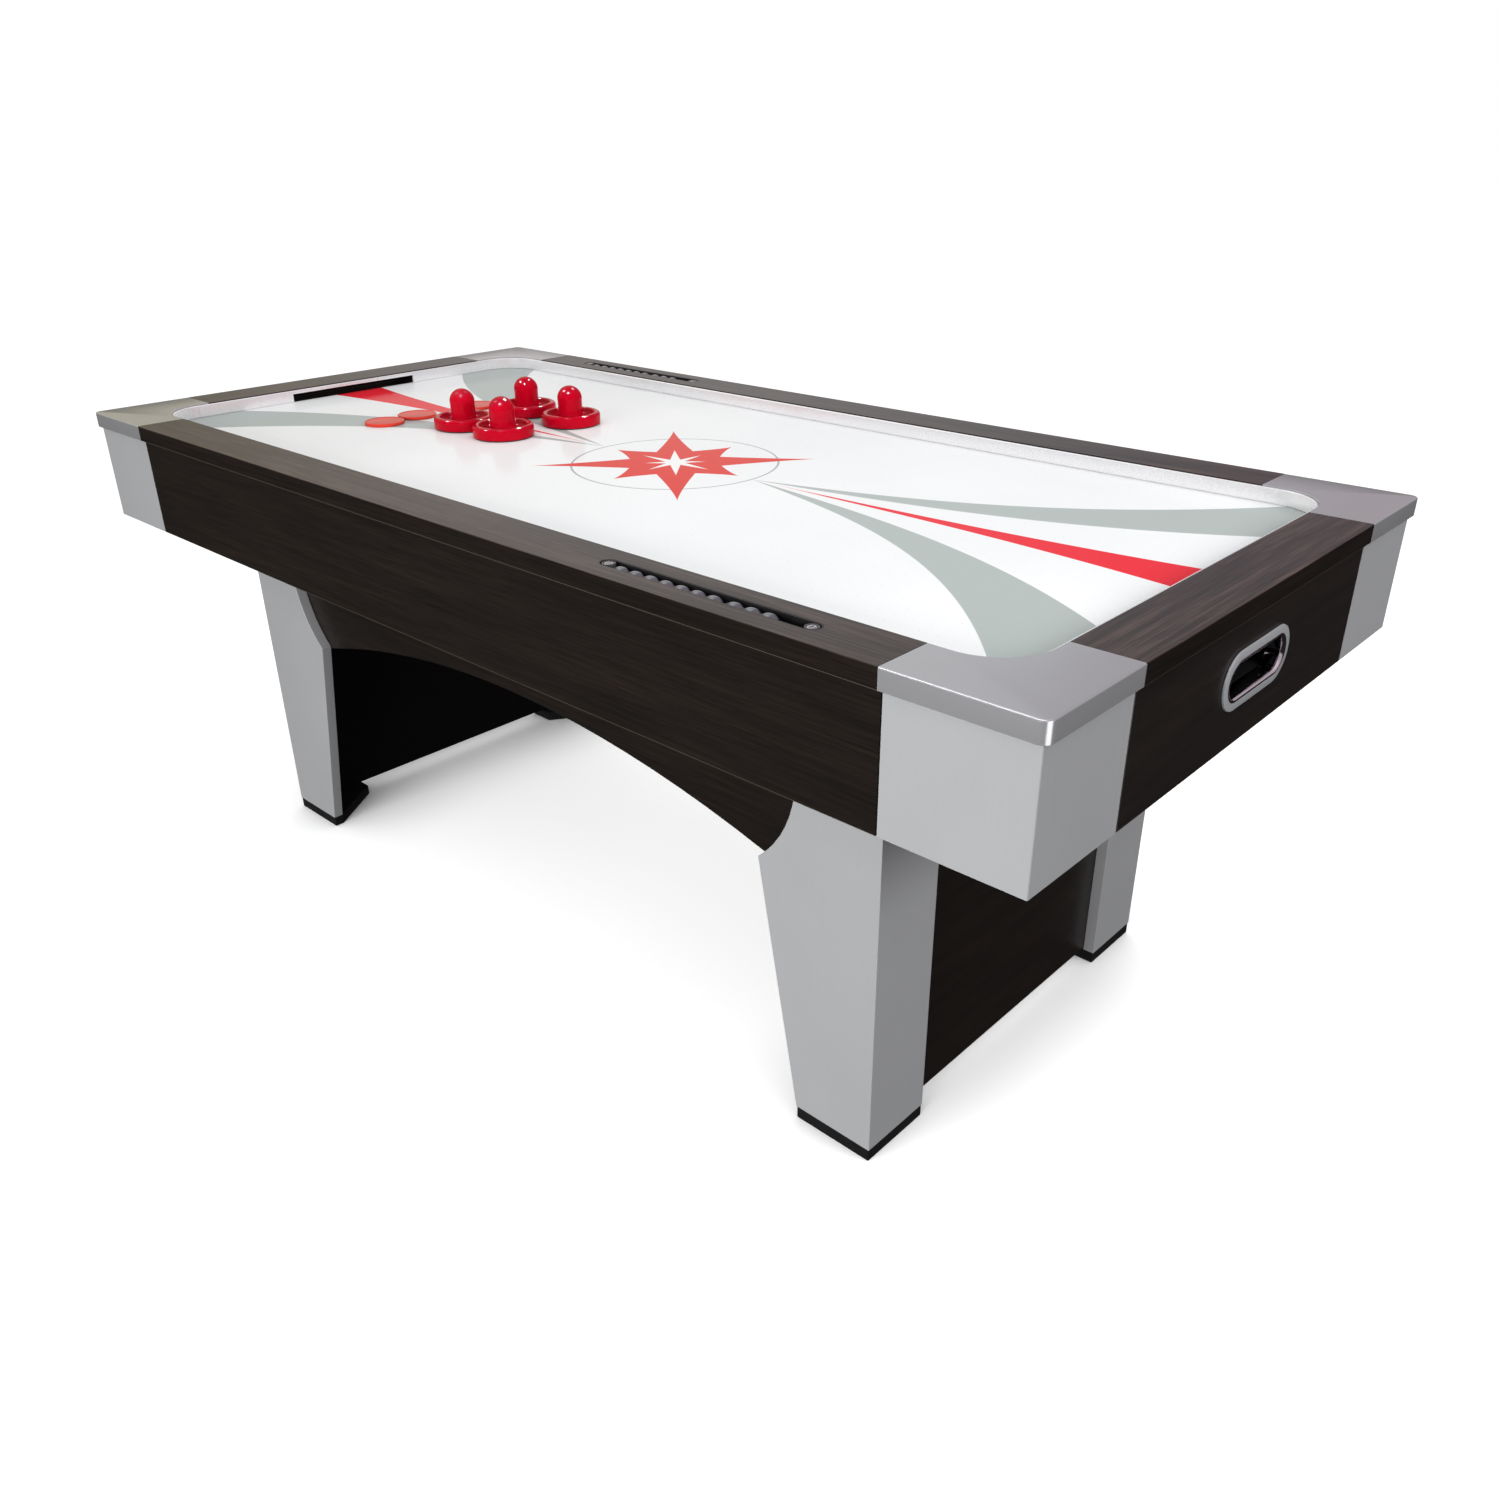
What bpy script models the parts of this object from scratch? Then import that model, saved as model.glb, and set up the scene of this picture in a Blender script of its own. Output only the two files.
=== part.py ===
"""Air hockey table: wooden cabinet on four splayed legs, aluminium playing well, blower and loose play set.

The frame is metres with +Z up. The origin is on the floor under the middle of the table, +X runs along
the table and -Y is the near long side. Left and right are the -X and +X ends.
"""
import math

import bmesh
import bpy
from mathutils import Matrix, Vector

# Overall sizes
LENGTH = 2.134
WIDTH = 1.041
RAIL_TOP = 0.8345
CABINET_BOTTOM = 0.630
GAP = 0.0003
SEAM = 0.0015

# Rails and corners, seen from above
SIDE_RAIL_WIDTH = 0.0919
END_RAIL_WIDTH = 0.0944
RAIL_THICK = 0.0272
CORNER_LENGTH = 0.200
CORNER_DEPTH = 0.191
CAP_OVERHANG = 0.0078
CAP_CORNER_RADIUS = 0.014
BLOCK_CORNER_RADIUS = 0.002
BOARD = 0.019
EDGE_BREAK = 0.0008

# Playing well
WELL_DEPTH = 0.0252
WELL_RADIUS = 0.075
WALL_THICK = 0.004
FIELD_THICK = 0.0159
GOAL_WIDTH = 0.296
GOAL_HEIGHT = 0.0165
GOAL_CLEARANCE = 0.006
GOAL_ROOF = 0.0078

# Air chamber and blower
PLENUM_DEPTH = 0.045
PLENUM_BASE = 0.012
PLENUM_WALL = 0.015
PLENUM_SETBACK = 0.0726
RIB_COUNT = 4
RIB_THICK = 0.012
RIB_HEIGHT = 0.030
AIR_HOLE_RADIUS = 0.066
BLOWER_RADIUS = 0.078
BLOWER_HEIGHT = 0.064
BLOWER_FLANGE = 0.016
SHEET = 0.003
INTAKE_COUNT = 6
INTAKE_RADIUS = 0.014
IMPELLER_RADIUS = 0.064
IMPELLER_HEIGHT = 0.040
BLADE_COUNT = 14
MOTOR_RADIUS = 0.031
MOTOR_HEIGHT = 0.030
SHAFT_RADIUS = 0.003
SHAFT_DEPTH = 0.020
RUNNING_FIT = 0.0001
HUB_RADIUS = 0.013

# Puck return
POCKET_WIDTH = 0.192
POCKET_HEIGHT = 0.079
POCKET_CENTRE = 0.7245
BEZEL_WIDTH = 0.0168
BEZEL_THICK = 0.004
SLEEVE_WALL = 0.002
TRAY_WIDTH = 0.330
TRAY_WALL = 0.004

# Legs, arches and end panels
LEG_INSET_X = 0.283
LEG_INSET_Y = 0.1361
LEG_BOARD = 0.0195
FOOT_HEIGHT = 0.0204
FOOT_WIDTH = 0.1367
KNEE_WIDTH = 0.2113
KNEE_HEIGHT = 0.426
NECK_WIDTH = 0.144
NECK_HEIGHT = 0.574
LEG_SIDE_WIDTH = 0.1295
FOOT_INSET = 0.001
PAD_DEPTH = 0.060
ARCH_SPRING = 0.4225
ARCH_CROWN = 0.501
ARCH_END_GAP = 0.007
PANEL_BOTTOM = 0.0235

# Bead scorers, one in each long rail
SCORER_LENGTH = 0.363
SCORER_WIDTH = 0.024
SCORER_DEPTH = 0.0238
SCORER_PLACE = 0.537
SCORER_SHELL = 0.0012
SCORER_FLOOR = 0.0015
BEAD_PITCH = 0.0272
BEAD_RADIUS = 0.0097
BEAD_NECK = 0.0066
BEAD_BORE = 0.0021
ROD_RADIUS = 0.0015
BOSS_RADIUS = 0.0095
BOSS_PLACE = 0.0125
BEADS_IN_LONG_TRAIN = 7
BEADS_IN_SHORT_TRAIN = 3
TRAIN_GAP = 0.0067
BEAD_DROP = 0.0104

# Play set; the spots are counted in striker diameters from the middle of the group
STRIKER_DIAMETER = 0.114
STRIKER_RIM = 0.0235
STRIKER_HEIGHT = 0.073
STRIKER_DISH = 0.010
KNOB_DIAMETER = 0.0478
FELT_THICK = 0.0015
FELT_INSET = 0.0015
PUCK_DIAMETER = 0.076
PUCK_THICK = 0.0058
GROUP_PLACE = -0.447
STRIKER_SPOTS = {
    "striker_front": (0.531, -0.463),
    "striker_right": (0.656, 0.868),
    "striker_back": (-0.579, 0.907),
    "striker_left": (-0.526, -0.482),
}
PUCK_SPOTS = {
    "puck_1": (-1.804, -1.225),
    "puck_2": (-1.872, -0.526),
    "puck_3": (-1.756, 0.656),
}

# Power inlet and its rocker switch, under the air chamber
INLET_SIZE = (0.062, 0.034, 0.022)
INLET_PLACE_X = 0.42
INLET_EDGE_GAP = 0.060
SOCKET_SIZE = (0.027, 0.019, 0.015)
ROCKER_WINDOW = (0.0186, 0.0130, 0.0125)
ROCKER_RADIUS = 0.0085
ROCKER_SINK = 0.0020
ROCKER_TILT = 12.0

# Derived heights and planes
HALF_LENGTH = LENGTH / 2
HALF_WIDTH = WIDTH / 2
RAIL_BOTTOM = RAIL_TOP - RAIL_THICK
FIELD_TOP = RAIL_TOP - WELL_DEPTH
FIELD_BOTTOM = FIELD_TOP - FIELD_THICK
WELL_X = HALF_LENGTH - END_RAIL_WIDTH
WELL_Y = HALF_WIDTH - SIDE_RAIL_WIDTH
RAIL_INNER_X = WELL_X + WALL_THICK + GAP
RAIL_INNER_Y = WELL_Y + WALL_THICK + GAP
APRON_X = HALF_LENGTH - CAP_OVERHANG
APRON_Y = HALF_WIDTH - CAP_OVERHANG
CORNER_X = HALF_LENGTH - CORNER_LENGTH
CORNER_Y = HALF_WIDTH - CORNER_DEPTH
PLENUM_TOP = FIELD_BOTTOM - GAP
PLENUM_FLOOR = PLENUM_TOP - PLENUM_DEPTH
PLENUM_BOTTOM = PLENUM_FLOOR - PLENUM_BASE
PLENUM_X = WELL_X - PLENUM_SETBACK
PLENUM_Y = APRON_Y - BOARD - GAP
LEG_TOP = PLENUM_BOTTOM - GAP
LEG_X = HALF_LENGTH - LEG_INSET_X
LEG_Y = HALF_WIDTH - LEG_INSET_Y
PANEL_X = LEG_X - LEG_BOARD - GAP
ARCH_Y = LEG_Y - LEG_BOARD - GAP

SIDES_X = {"left": -1, "right": 1}
SIDES_Y = {"near": -1, "far": 1}

WOOD = ((0.016, 0.012, 0.011, 1), 0.42, 0.0)
SILVER = ((0.33, 0.33, 0.34, 1), 0.38, 0.7)
ALUMINIUM = ((0.62, 0.63, 0.64, 1), 0.30, 1.0)
CHROME = ((0.75, 0.76, 0.78, 1), 0.10, 1.0)
BLACK = ((0.012, 0.012, 0.013, 1), 0.55, 0.0)
WHITE = ((0.86, 0.86, 0.86, 1), 0.12, 0.0)
RED = ((0.62, 0.005, 0.015, 1), 0.16, 0.0)
PALE_BOARD = ((0.45, 0.34, 0.23, 1), 0.70, 0.0)
STEEL = ((0.40, 0.41, 0.43, 1), 0.35, 1.0)

PARTS = bpy.data.collections.new("air_hockey_table")
CUTTERS = bpy.data.collections.new("cutters")


def clear_scene():
    """Empty the scene and link the two collections."""
    for obj in list(bpy.data.objects):
        bpy.data.objects.remove(obj, do_unlink=True)
    bpy.context.scene.collection.children.link(PARTS)
    bpy.context.scene.collection.children.link(CUTTERS)


def add(name, mesh, finish):
    """Put a mesh in the scene as a part, or as a helper solid when it has no finish."""
    obj = bpy.data.objects.new(name, mesh)
    if finish is None:
        CUTTERS.objects.link(obj)
        obj.display_type = 'WIRE'
        obj.hide_render = True
        return obj
    PARTS.objects.link(obj)
    paint = bpy.data.materials.new(name)
    paint.use_nodes = True
    shader = paint.node_tree.nodes["Principled BSDF"]
    shader.inputs["Base Color"].default_value = finish[0]
    shader.inputs["Roughness"].default_value = finish[1]
    shader.inputs["Metallic"].default_value = finish[2]
    mesh.materials.append(paint)
    return obj


def boxes(name, corners, finish=None):
    """Separate boxes in one mesh, each given by its low and high corner."""
    shape = bmesh.new()
    for low, high in corners:
        size = Vector(high) - Vector(low)
        middle = (Vector(high) + Vector(low)) / 2
        matrix = Matrix.Translation(middle) @ Matrix.Diagonal((*size, 1))
        bmesh.ops.create_cube(shape, size=1, matrix=matrix)
    mesh = bpy.data.meshes.new(name)
    shape.to_mesh(mesh)
    shape.free()
    return add(name, mesh, finish)


def rods(name, rods_list, finish=None, segments=16):
    """Separate cylinders in one mesh: each is an end point, another end point and a radius."""
    shape = bmesh.new()
    for start, end, radius in rods_list:
        along = Vector(end) - Vector(start)
        turn = along.to_track_quat('Z', 'Y').to_matrix().to_4x4()
        matrix = Matrix.Translation((Vector(start) + Vector(end)) / 2) @ turn
        bmesh.ops.create_cone(shape, cap_ends=True, segments=segments, radius1=radius, radius2=radius,
                              depth=along.length, matrix=matrix)
    mesh = bpy.data.meshes.new(name)
    shape.to_mesh(mesh)
    shape.free()
    return add(name, mesh, finish)


def prism(name, outline, low, high, along, finish=None):
    """A flat outline made solid from low to high along an axis.

    The outline is (x, y) points for along Z, (x, z) points for along Y and (y, z) points for along X.
    """
    turns = {
        'Z': Matrix.Identity(4),
        'Y': Matrix.Rotation(math.pi / 2, 4, 'X'),
        'X': Matrix(((0, 0, 1, 0), (1, 0, 0, 0), (0, 1, 0, 0), (0, 0, 0, 1))),
    }
    middle = (low + high) / 2
    offset = {'Z': (0, 0, middle), 'Y': (0, middle, 0), 'X': (middle, 0, 0)}[along]
    curve = bpy.data.curves.new(name, 'CURVE')
    curve.dimensions = '2D'
    curve.fill_mode = 'BOTH'
    curve.extrude = (high - low) / 2
    spline = curve.splines.new('POLY')
    spline.points.add(len(outline) - 1)
    for point, place in zip(spline.points, outline):
        point.co = (place[0], place[1], 0, 1)
    spline.use_cyclic_u = True
    source = bpy.data.objects.new(name, curve)
    bpy.context.scene.collection.objects.link(source)
    evaluated = source.evaluated_get(bpy.context.evaluated_depsgraph_get())
    mesh = bpy.data.meshes.new_from_object(evaluated)
    bpy.data.objects.remove(source)
    bpy.data.curves.remove(curve)
    shape = bmesh.new()
    shape.from_mesh(mesh)
    bmesh.ops.remove_doubles(shape, verts=shape.verts, dist=0.00001)
    bmesh.ops.transform(shape, matrix=Matrix.Translation(offset) @ turns[along], verts=shape.verts)
    bmesh.ops.recalc_face_normals(shape, faces=shape.faces)
    shape.to_mesh(mesh)
    shape.free()
    return add(name, mesh, finish)


def turned(name, profile, finish, steps, closed=False):
    """A profile of (radius, height) points, outer side running down, turned about Z."""
    mesh = bpy.data.meshes.new(name)
    edges = [(index, index + 1) for index in range(len(profile) - 1)]
    if closed:
        edges.append((len(profile) - 1, 0))
    mesh.from_pydata([(radius, 0, height) for radius, height in profile], edges, [])
    obj = add(name, mesh, finish)
    screw = obj.modifiers.new("turn", 'SCREW')
    screw.axis = 'Z'
    screw.steps = steps
    screw.render_steps = steps
    screw.use_merge_vertices = True
    screw.merge_threshold = 0.00001
    screw.use_smooth_shade = True
    return obj


def combine(obj, other, operation):
    """Boolean of a part with a helper solid."""
    modifier = obj.modifiers.new(operation.lower(), 'BOOLEAN')
    modifier.operation = operation
    modifier.solver = 'EXACT'
    modifier.object = other


def soften(obj, width, segments=1):
    """Break the sharp edges of a part."""
    bevel = obj.modifiers.new("soften", 'BEVEL')
    bevel.width = width
    bevel.segments = segments
    bevel.limit_method = 'ANGLE'
    bevel.angle_limit = math.radians(50)


def arc(centre, radius, start, end, steps):
    """Points of an arc, angles in degrees."""
    points = []
    for index in range(steps + 1):
        angle = math.radians(start + (end - start) * index / steps)
        points.append((centre[0] + radius * math.cos(angle), centre[1] + radius * math.sin(angle)))
    return points


def stadium(centre, length, width, steps=8):
    """Outline of a slot with full round ends, its length along the first axis."""
    reach = (length - width) / 2
    right = arc((centre[0] + reach, centre[1]), width / 2, -90, 90, steps)
    left = arc((centre[0] - reach, centre[1]), width / 2, 90, 270, steps)
    return right + left


def flipped(outline, sign_u, sign_v):
    """An outline mirrored into another quarter."""
    return [(u * sign_u, v * sign_v) for u, v in outline]


def rounded_well(margin, steps=8):
    """Outline of the playing well, moved outwards by a margin."""
    centre = (WELL_X - WELL_RADIUS, WELL_Y - WELL_RADIUS)
    quarter = arc(centre, WELL_RADIUS + margin, 0, 90, steps)
    outline = quarter + flipped(quarter[::-1], -1, 1)
    return outline + flipped(quarter, -1, -1) + flipped(quarter[::-1], 1, -1)


def build_rails():
    """Wooden top rails, the end ones hollowed behind their goal, the long ones slotted for a scorer."""
    half_run = CORNER_X - GAP
    for side, sign in SIDES_Y.items():
        edges = sorted((sign * RAIL_INNER_Y, sign * HALF_WIDTH))
        rail = boxes("rail_cap_" + side, [((-half_run, edges[0], RAIL_BOTTOM), (half_run, edges[1], RAIL_TOP))],
                     WOOD)
        slot = stadium(scorer_centre(sign), SCORER_LENGTH + 2 * GAP, SCORER_WIDTH + 2 * GAP)
        bottom = RAIL_TOP - SCORER_DEPTH - GAP
        combine(rail, prism("scorer_slot_" + side, slot, bottom, RAIL_TOP + 0.01, 'Z'), 'DIFFERENCE')
    half_run = CORNER_Y - GAP
    for side, sign in SIDES_X.items():
        edges = sorted((sign * RAIL_INNER_X, sign * HALF_LENGTH))
        rail = boxes("rail_cap_" + side, [((edges[0], -half_run, RAIL_BOTTOM), (edges[1], half_run, RAIL_TOP))],
                     WOOD)
        half_mouth = GOAL_WIDTH / 2 + GOAL_CLEARANCE
        depths = sorted((sign * WELL_X, sign * (APRON_X - BOARD - GOAL_CLEARANCE)))
        low = (depths[0], -half_mouth, RAIL_BOTTOM - 0.01)
        high = (depths[1], half_mouth, RAIL_TOP - GOAL_ROOF)
        combine(rail, boxes("goal_recess_" + side, [(low, high)]), 'DIFFERENCE')


def corner_cap_outline():
    """Top of a corner: round outside corner, the well's round corner inside."""
    outside = arc((HALF_LENGTH - CAP_CORNER_RADIUS, HALF_WIDTH - CAP_CORNER_RADIUS), CAP_CORNER_RADIUS, 90, 0, 6)
    well_corner = (WELL_X - WELL_RADIUS, WELL_Y - WELL_RADIUS)
    inside = arc(well_corner, WELL_RADIUS + WALL_THICK + GAP, 0, 90, 8)
    outline = [(CORNER_X, HALF_WIDTH)] + outside + [(HALF_LENGTH, CORNER_Y), (RAIL_INNER_X, CORNER_Y)]
    return outline + inside + [(CORNER_X, RAIL_INNER_Y)]


def corner_block_outline():
    """An L of board around the corner of the cabinet."""
    start_x = CORNER_X + SEAM
    start_y = CORNER_Y + SEAM
    centre = (APRON_X - BLOCK_CORNER_RADIUS, APRON_Y - BLOCK_CORNER_RADIUS)
    outside = arc(centre, BLOCK_CORNER_RADIUS, 90, 0, 2)
    outline = [(start_x, APRON_Y)] + outside + [(APRON_X, start_y), (APRON_X - BOARD, start_y)]
    return outline + [(APRON_X - BOARD, APRON_Y - BOARD), (start_x, APRON_Y - BOARD)]


def build_corners():
    """Silver corner caps and the silver corner blocks under them."""
    for side_y, sign_y in SIDES_Y.items():
        for side_x, sign_x in SIDES_X.items():
            corner = side_y + "_" + side_x
            cap = flipped(corner_cap_outline(), sign_x, sign_y)
            soften(prism("corner_cap_" + corner, cap, RAIL_BOTTOM, RAIL_TOP, 'Z', SILVER), EDGE_BREAK)
            block = flipped(corner_block_outline(), sign_x, sign_y)
            prism("corner_block_" + corner, block, CABINET_BOTTOM, RAIL_BOTTOM - GAP, 'Z', SILVER)


def pocket_outline(shrink):
    """Outline of the puck return opening, in Y and Z."""
    return stadium((0, POCKET_CENTRE), POCKET_WIDTH - 2 * shrink, POCKET_HEIGHT - 2 * shrink, 10)


def build_aprons():
    """Side boards of the cabinet; the end ones have the hole of the puck return."""
    top = RAIL_BOTTOM - GAP
    for side, sign in SIDES_Y.items():
        edges = sorted((sign * APRON_Y, sign * (APRON_Y - BOARD)))
        boxes("apron_" + side, [((-CORNER_X, edges[0], CABINET_BOTTOM), (CORNER_X, edges[1], top))], WOOD)
    for side, sign in SIDES_X.items():
        edges = sorted((sign * APRON_X, sign * (APRON_X - BOARD)))
        apron = boxes("apron_" + side, [((edges[0], -CORNER_Y, CABINET_BOTTOM), (edges[1], CORNER_Y, top))], WOOD)
        hole = pocket_outline(BEZEL_WIDTH - SLEEVE_WALL - GAP)
        combine(apron, prism("pocket_hole_" + side, hole, edges[0] - 0.01, edges[1] + 0.01, 'X'), 'DIFFERENCE')


def build_pockets():
    """Chrome puck return rings with their sleeves, and the trays behind them."""
    for side, sign in SIDES_X.items():
        face = sign * (APRON_X + GAP)
        front = sign * (APRON_X + GAP + BEZEL_THICK)
        back = sign * (APRON_X - BOARD)
        ring = prism("pocket_ring_" + side, pocket_outline(0), *sorted((face, front)), 'X', CHROME)
        sleeve = prism("pocket_sleeve_" + side, pocket_outline(BEZEL_WIDTH - SLEEVE_WALL),
                       *sorted((back, (face + front) / 2)), 'X')
        mouth = prism("pocket_mouth_" + side, pocket_outline(BEZEL_WIDTH),
                      *sorted((back - sign * 0.01, front + sign * 0.01)), 'X')
        combine(ring, sleeve, 'UNION')
        combine(ring, mouth, 'DIFFERENCE')
        floor = POCKET_CENTRE - POCKET_HEIGHT / 2 + BEZEL_WIDTH
        inner_end = sign * (PLENUM_X + GAP)
        outer_end = sign * (APRON_X - BOARD - GAP)
        xs = sorted((inner_end, outer_end))
        tray = boxes("puck_tray_" + side, [((xs[0], -TRAY_WIDTH / 2, floor - TRAY_WALL),
                                           (xs[1], TRAY_WIDTH / 2, PLENUM_TOP))], BLACK)
        hollow_xs = sorted((inner_end + sign * TRAY_WALL, outer_end + sign * 0.01))
        half = TRAY_WIDTH / 2 - TRAY_WALL
        hollow = boxes("tray_hollow_" + side, [((hollow_xs[0], -half, floor), (hollow_xs[1], half, RAIL_TOP))])
        combine(tray, hollow, 'DIFFERENCE')


def build_well():
    """Playfield board and the aluminium walls around it: long ones wrap the corners, end ones hold the goals."""
    prism("playfield", rounded_well(WALL_THICK), FIELD_BOTTOM, FIELD_TOP, 'Z', WHITE)
    centre = (WELL_X - WELL_RADIUS, WELL_Y - WELL_RADIUS)
    inner = arc(centre, WELL_RADIUS, 0, 90, 8)
    outer = arc(centre, WELL_RADIUS + WALL_THICK, 0, 90, 8)
    strip = inner + flipped(inner[::-1], -1, 1) + flipped(outer, -1, 1) + outer[::-1]
    for side, sign in SIDES_Y.items():
        prism("side_wall_" + side, flipped(strip, 1, sign), FIELD_TOP + GAP, RAIL_TOP, 'Z', ALUMINIUM)
    half = WELL_Y - WELL_RADIUS - GAP
    low = FIELD_TOP + GAP
    mouth = GOAL_WIDTH / 2
    lintel = FIELD_TOP + GOAL_HEIGHT
    outline = [(-half, low), (-mouth, low), (-mouth, lintel), (mouth, lintel), (mouth, low), (half, low),
               (half, RAIL_TOP), (-half, RAIL_TOP)]
    for side, sign in SIDES_X.items():
        prism("end_wall_" + side, outline, *sorted((sign * WELL_X, sign * (WELL_X + WALL_THICK))), 'X', ALUMINIUM)


def build_plenum():
    """Air chamber under the playfield: a tray with support ribs and the blower's air hole."""
    tray = boxes("plenum_tray", [((-PLENUM_X, -PLENUM_Y, PLENUM_BOTTOM), (PLENUM_X, PLENUM_Y, PLENUM_TOP))],
                 PALE_BOARD)
    inner_x = PLENUM_X - PLENUM_WALL
    inner_y = PLENUM_Y - PLENUM_WALL
    hollow = boxes("plenum_hollow", [((-inner_x, -inner_y, PLENUM_FLOOR), (inner_x, inner_y, RAIL_TOP))])
    combine(tray, hollow, 'DIFFERENCE')
    ribs = []
    for index in range(RIB_COUNT):
        place = inner_x * ((2 * index + 1) / RIB_COUNT - 1)
        low = (place - RIB_THICK / 2, -inner_y - 0.005, PLENUM_FLOOR - 0.002)
        ribs.append((low, (place + RIB_THICK / 2, inner_y + 0.005, PLENUM_FLOOR + RIB_HEIGHT)))
    combine(tray, boxes("plenum_ribs", ribs), 'UNION')
    hole = ((0, 0, PLENUM_BOTTOM - 0.01), (0, 0, PLENUM_FLOOR + 0.01), AIR_HOLE_RADIUS)
    combine(tray, rods("air_hole", [hole], segments=24), 'DIFFERENCE')


def build_blower():
    """Blower hung under the air hole: housing, impeller on the motor's shaft, motor below."""
    top = PLENUM_BOTTOM - GAP
    bottom = top - BLOWER_HEIGHT
    inner = BLOWER_RADIUS - SHEET
    hub_hole = 2 * SHAFT_RADIUS
    profile = [(inner, top), (BLOWER_RADIUS + BLOWER_FLANGE, top), (BLOWER_RADIUS + BLOWER_FLANGE, top - SHEET),
               (BLOWER_RADIUS, top - SHEET), (BLOWER_RADIUS, bottom), (hub_hole, bottom),
               (hub_hole, bottom + SHEET), (inner, bottom + SHEET)]
    housing = turned("blower_housing", profile, BLACK, 24, closed=True)
    ring = (MOTOR_RADIUS + BLOWER_RADIUS - SHEET) / 2
    intakes = []
    for index in range(INTAKE_COUNT):
        angle = 2 * math.pi * index / INTAKE_COUNT
        spot = (ring * math.cos(angle), ring * math.sin(angle))
        intakes.append(((*spot, bottom - 0.01), (*spot, bottom + 0.02), INTAKE_RADIUS))
    combine(housing, rods("blower_intakes", intakes, segments=12), 'DIFFERENCE')

    floor = bottom + 3 * SHEET
    hub_top = floor + IMPELLER_HEIGHT / 2
    shaft_end = bottom - SHAFT_DEPTH
    disc = [(0, hub_top), (HUB_RADIUS, hub_top), (HUB_RADIUS, floor + SHEET), (IMPELLER_RADIUS, floor + SHEET),
            (IMPELLER_RADIUS, floor), (SHAFT_RADIUS, floor), (SHAFT_RADIUS, shaft_end), (0, shaft_end)]
    impeller = turned("blower_impeller", disc, BLACK, 24)
    combine(impeller, build_blades(floor), 'UNION')

    end = bottom - GAP
    bore = SHAFT_RADIUS + RUNNING_FIT
    bore_end = shaft_end - GAP
    motor = [(0, bore_end), (bore, bore_end), (bore, end), (MOTOR_RADIUS, end),
             (MOTOR_RADIUS, end - MOTOR_HEIGHT), (0, end - MOTOR_HEIGHT)]
    turned("blower_motor", motor, STEEL, 24)


def build_blades(floor):
    """Straight blades of the impeller, leaning back from the radius."""
    shape = bmesh.new()
    length = IMPELLER_RADIUS * 0.36
    for index in range(BLADE_COUNT):
        place = Matrix.Rotation(2 * math.pi * index / BLADE_COUNT, 4, 'Z')
        out = Matrix.Translation((IMPELLER_RADIUS * 0.76, 0, floor + SHEET / 2 + IMPELLER_HEIGHT / 2))
        lean = Matrix.Rotation(math.radians(35), 4, 'Z')
        size = Matrix.Diagonal((length, 0.0016, IMPELLER_HEIGHT, 1))
        bmesh.ops.create_cube(shape, size=1, matrix=place @ out @ lean @ size)
    mesh = bpy.data.meshes.new("impeller_blades")
    shape.to_mesh(mesh)
    shape.free()
    return add("impeller_blades", mesh, None)


def build_inlet():
    """Power inlet block with a socket and a rocker switch, both facing down."""
    top = PLENUM_BOTTOM - GAP
    face = top - INLET_SIZE[2]
    middle_y = PLENUM_Y - INLET_EDGE_GAP
    half = (INLET_SIZE[0] / 2, INLET_SIZE[1] / 2)
    block = boxes("power_inlet", [((INLET_PLACE_X - half[0], middle_y - half[1], face),
                                   (INLET_PLACE_X + half[0], middle_y + half[1], top))], BLACK)
    soften(block, EDGE_BREAK)
    socket_x = INLET_PLACE_X - half[0] / 2 + 0.002
    rocker_x = INLET_PLACE_X + half[0] / 2 + 0.003
    recesses = []
    for middle_x, size in ((socket_x, SOCKET_SIZE), (rocker_x, ROCKER_WINDOW)):
        low = (middle_x - size[0] / 2, middle_y - size[1] / 2, face - 0.01)
        recesses.append((low, (middle_x + size[0] / 2, middle_y + size[1] / 2, face + size[2])))
    combine(block, boxes("inlet_recesses", recesses), 'DIFFERENCE')

    pivot = (rocker_x, middle_y, face + ROCKER_SINK)
    rear = arc((0, 0), ROCKER_RADIUS, 0, 180, 8)
    outline = rear + [(-0.94 * ROCKER_RADIUS, -0.0026), (0, -0.0012), (0.94 * ROCKER_RADIUS, -0.0026)]
    half_width = ROCKER_WINDOW[1] / 2 - 2 * GAP
    rocker = prism("switch_rocker", outline, -half_width, half_width, 'Y', BLACK)
    rocker.location = pivot
    rocker.rotation_euler = (0, math.radians(ROCKER_TILT), 0)


def leg_front_outline():
    """Leg seen from the long side, in X and Z: tapers to the foot, curves in above the knee."""
    knee = (LEG_X - KNEE_WIDTH, KNEE_HEIGHT)
    neck = (LEG_X - NECK_WIDTH, NECK_HEIGHT)
    rise = neck[1] - knee[1]
    radius = (rise ** 2 + (neck[0] - knee[0]) ** 2) / (2 * (neck[0] - knee[0]))
    start = -math.degrees(math.asin(rise / radius))
    curve = arc((neck[0] - radius, neck[1]), radius, start, 0, 8)
    foot = [(LEG_X, FOOT_HEIGHT + GAP), (LEG_X - FOOT_WIDTH, FOOT_HEIGHT + GAP)]
    return foot + curve + [(neck[0], LEG_TOP), (LEG_X, LEG_TOP)]


def foot_outline():
    """Pad under a leg, in X and Y: square outside corner, slanting inner side."""
    out_x = LEG_X - FOOT_INSET
    out_y = LEG_Y - FOOT_INSET
    thick = LEG_BOARD - 2 * FOOT_INSET
    end_x = LEG_X - FOOT_WIDTH + FOOT_INSET
    end_y = LEG_Y - LEG_SIDE_WIDTH + FOOT_INSET
    return [(out_x, out_y), (out_x, end_y), (LEG_X - PAD_DEPTH, end_y), (end_x, out_y - thick), (end_x, out_y)]


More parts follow.
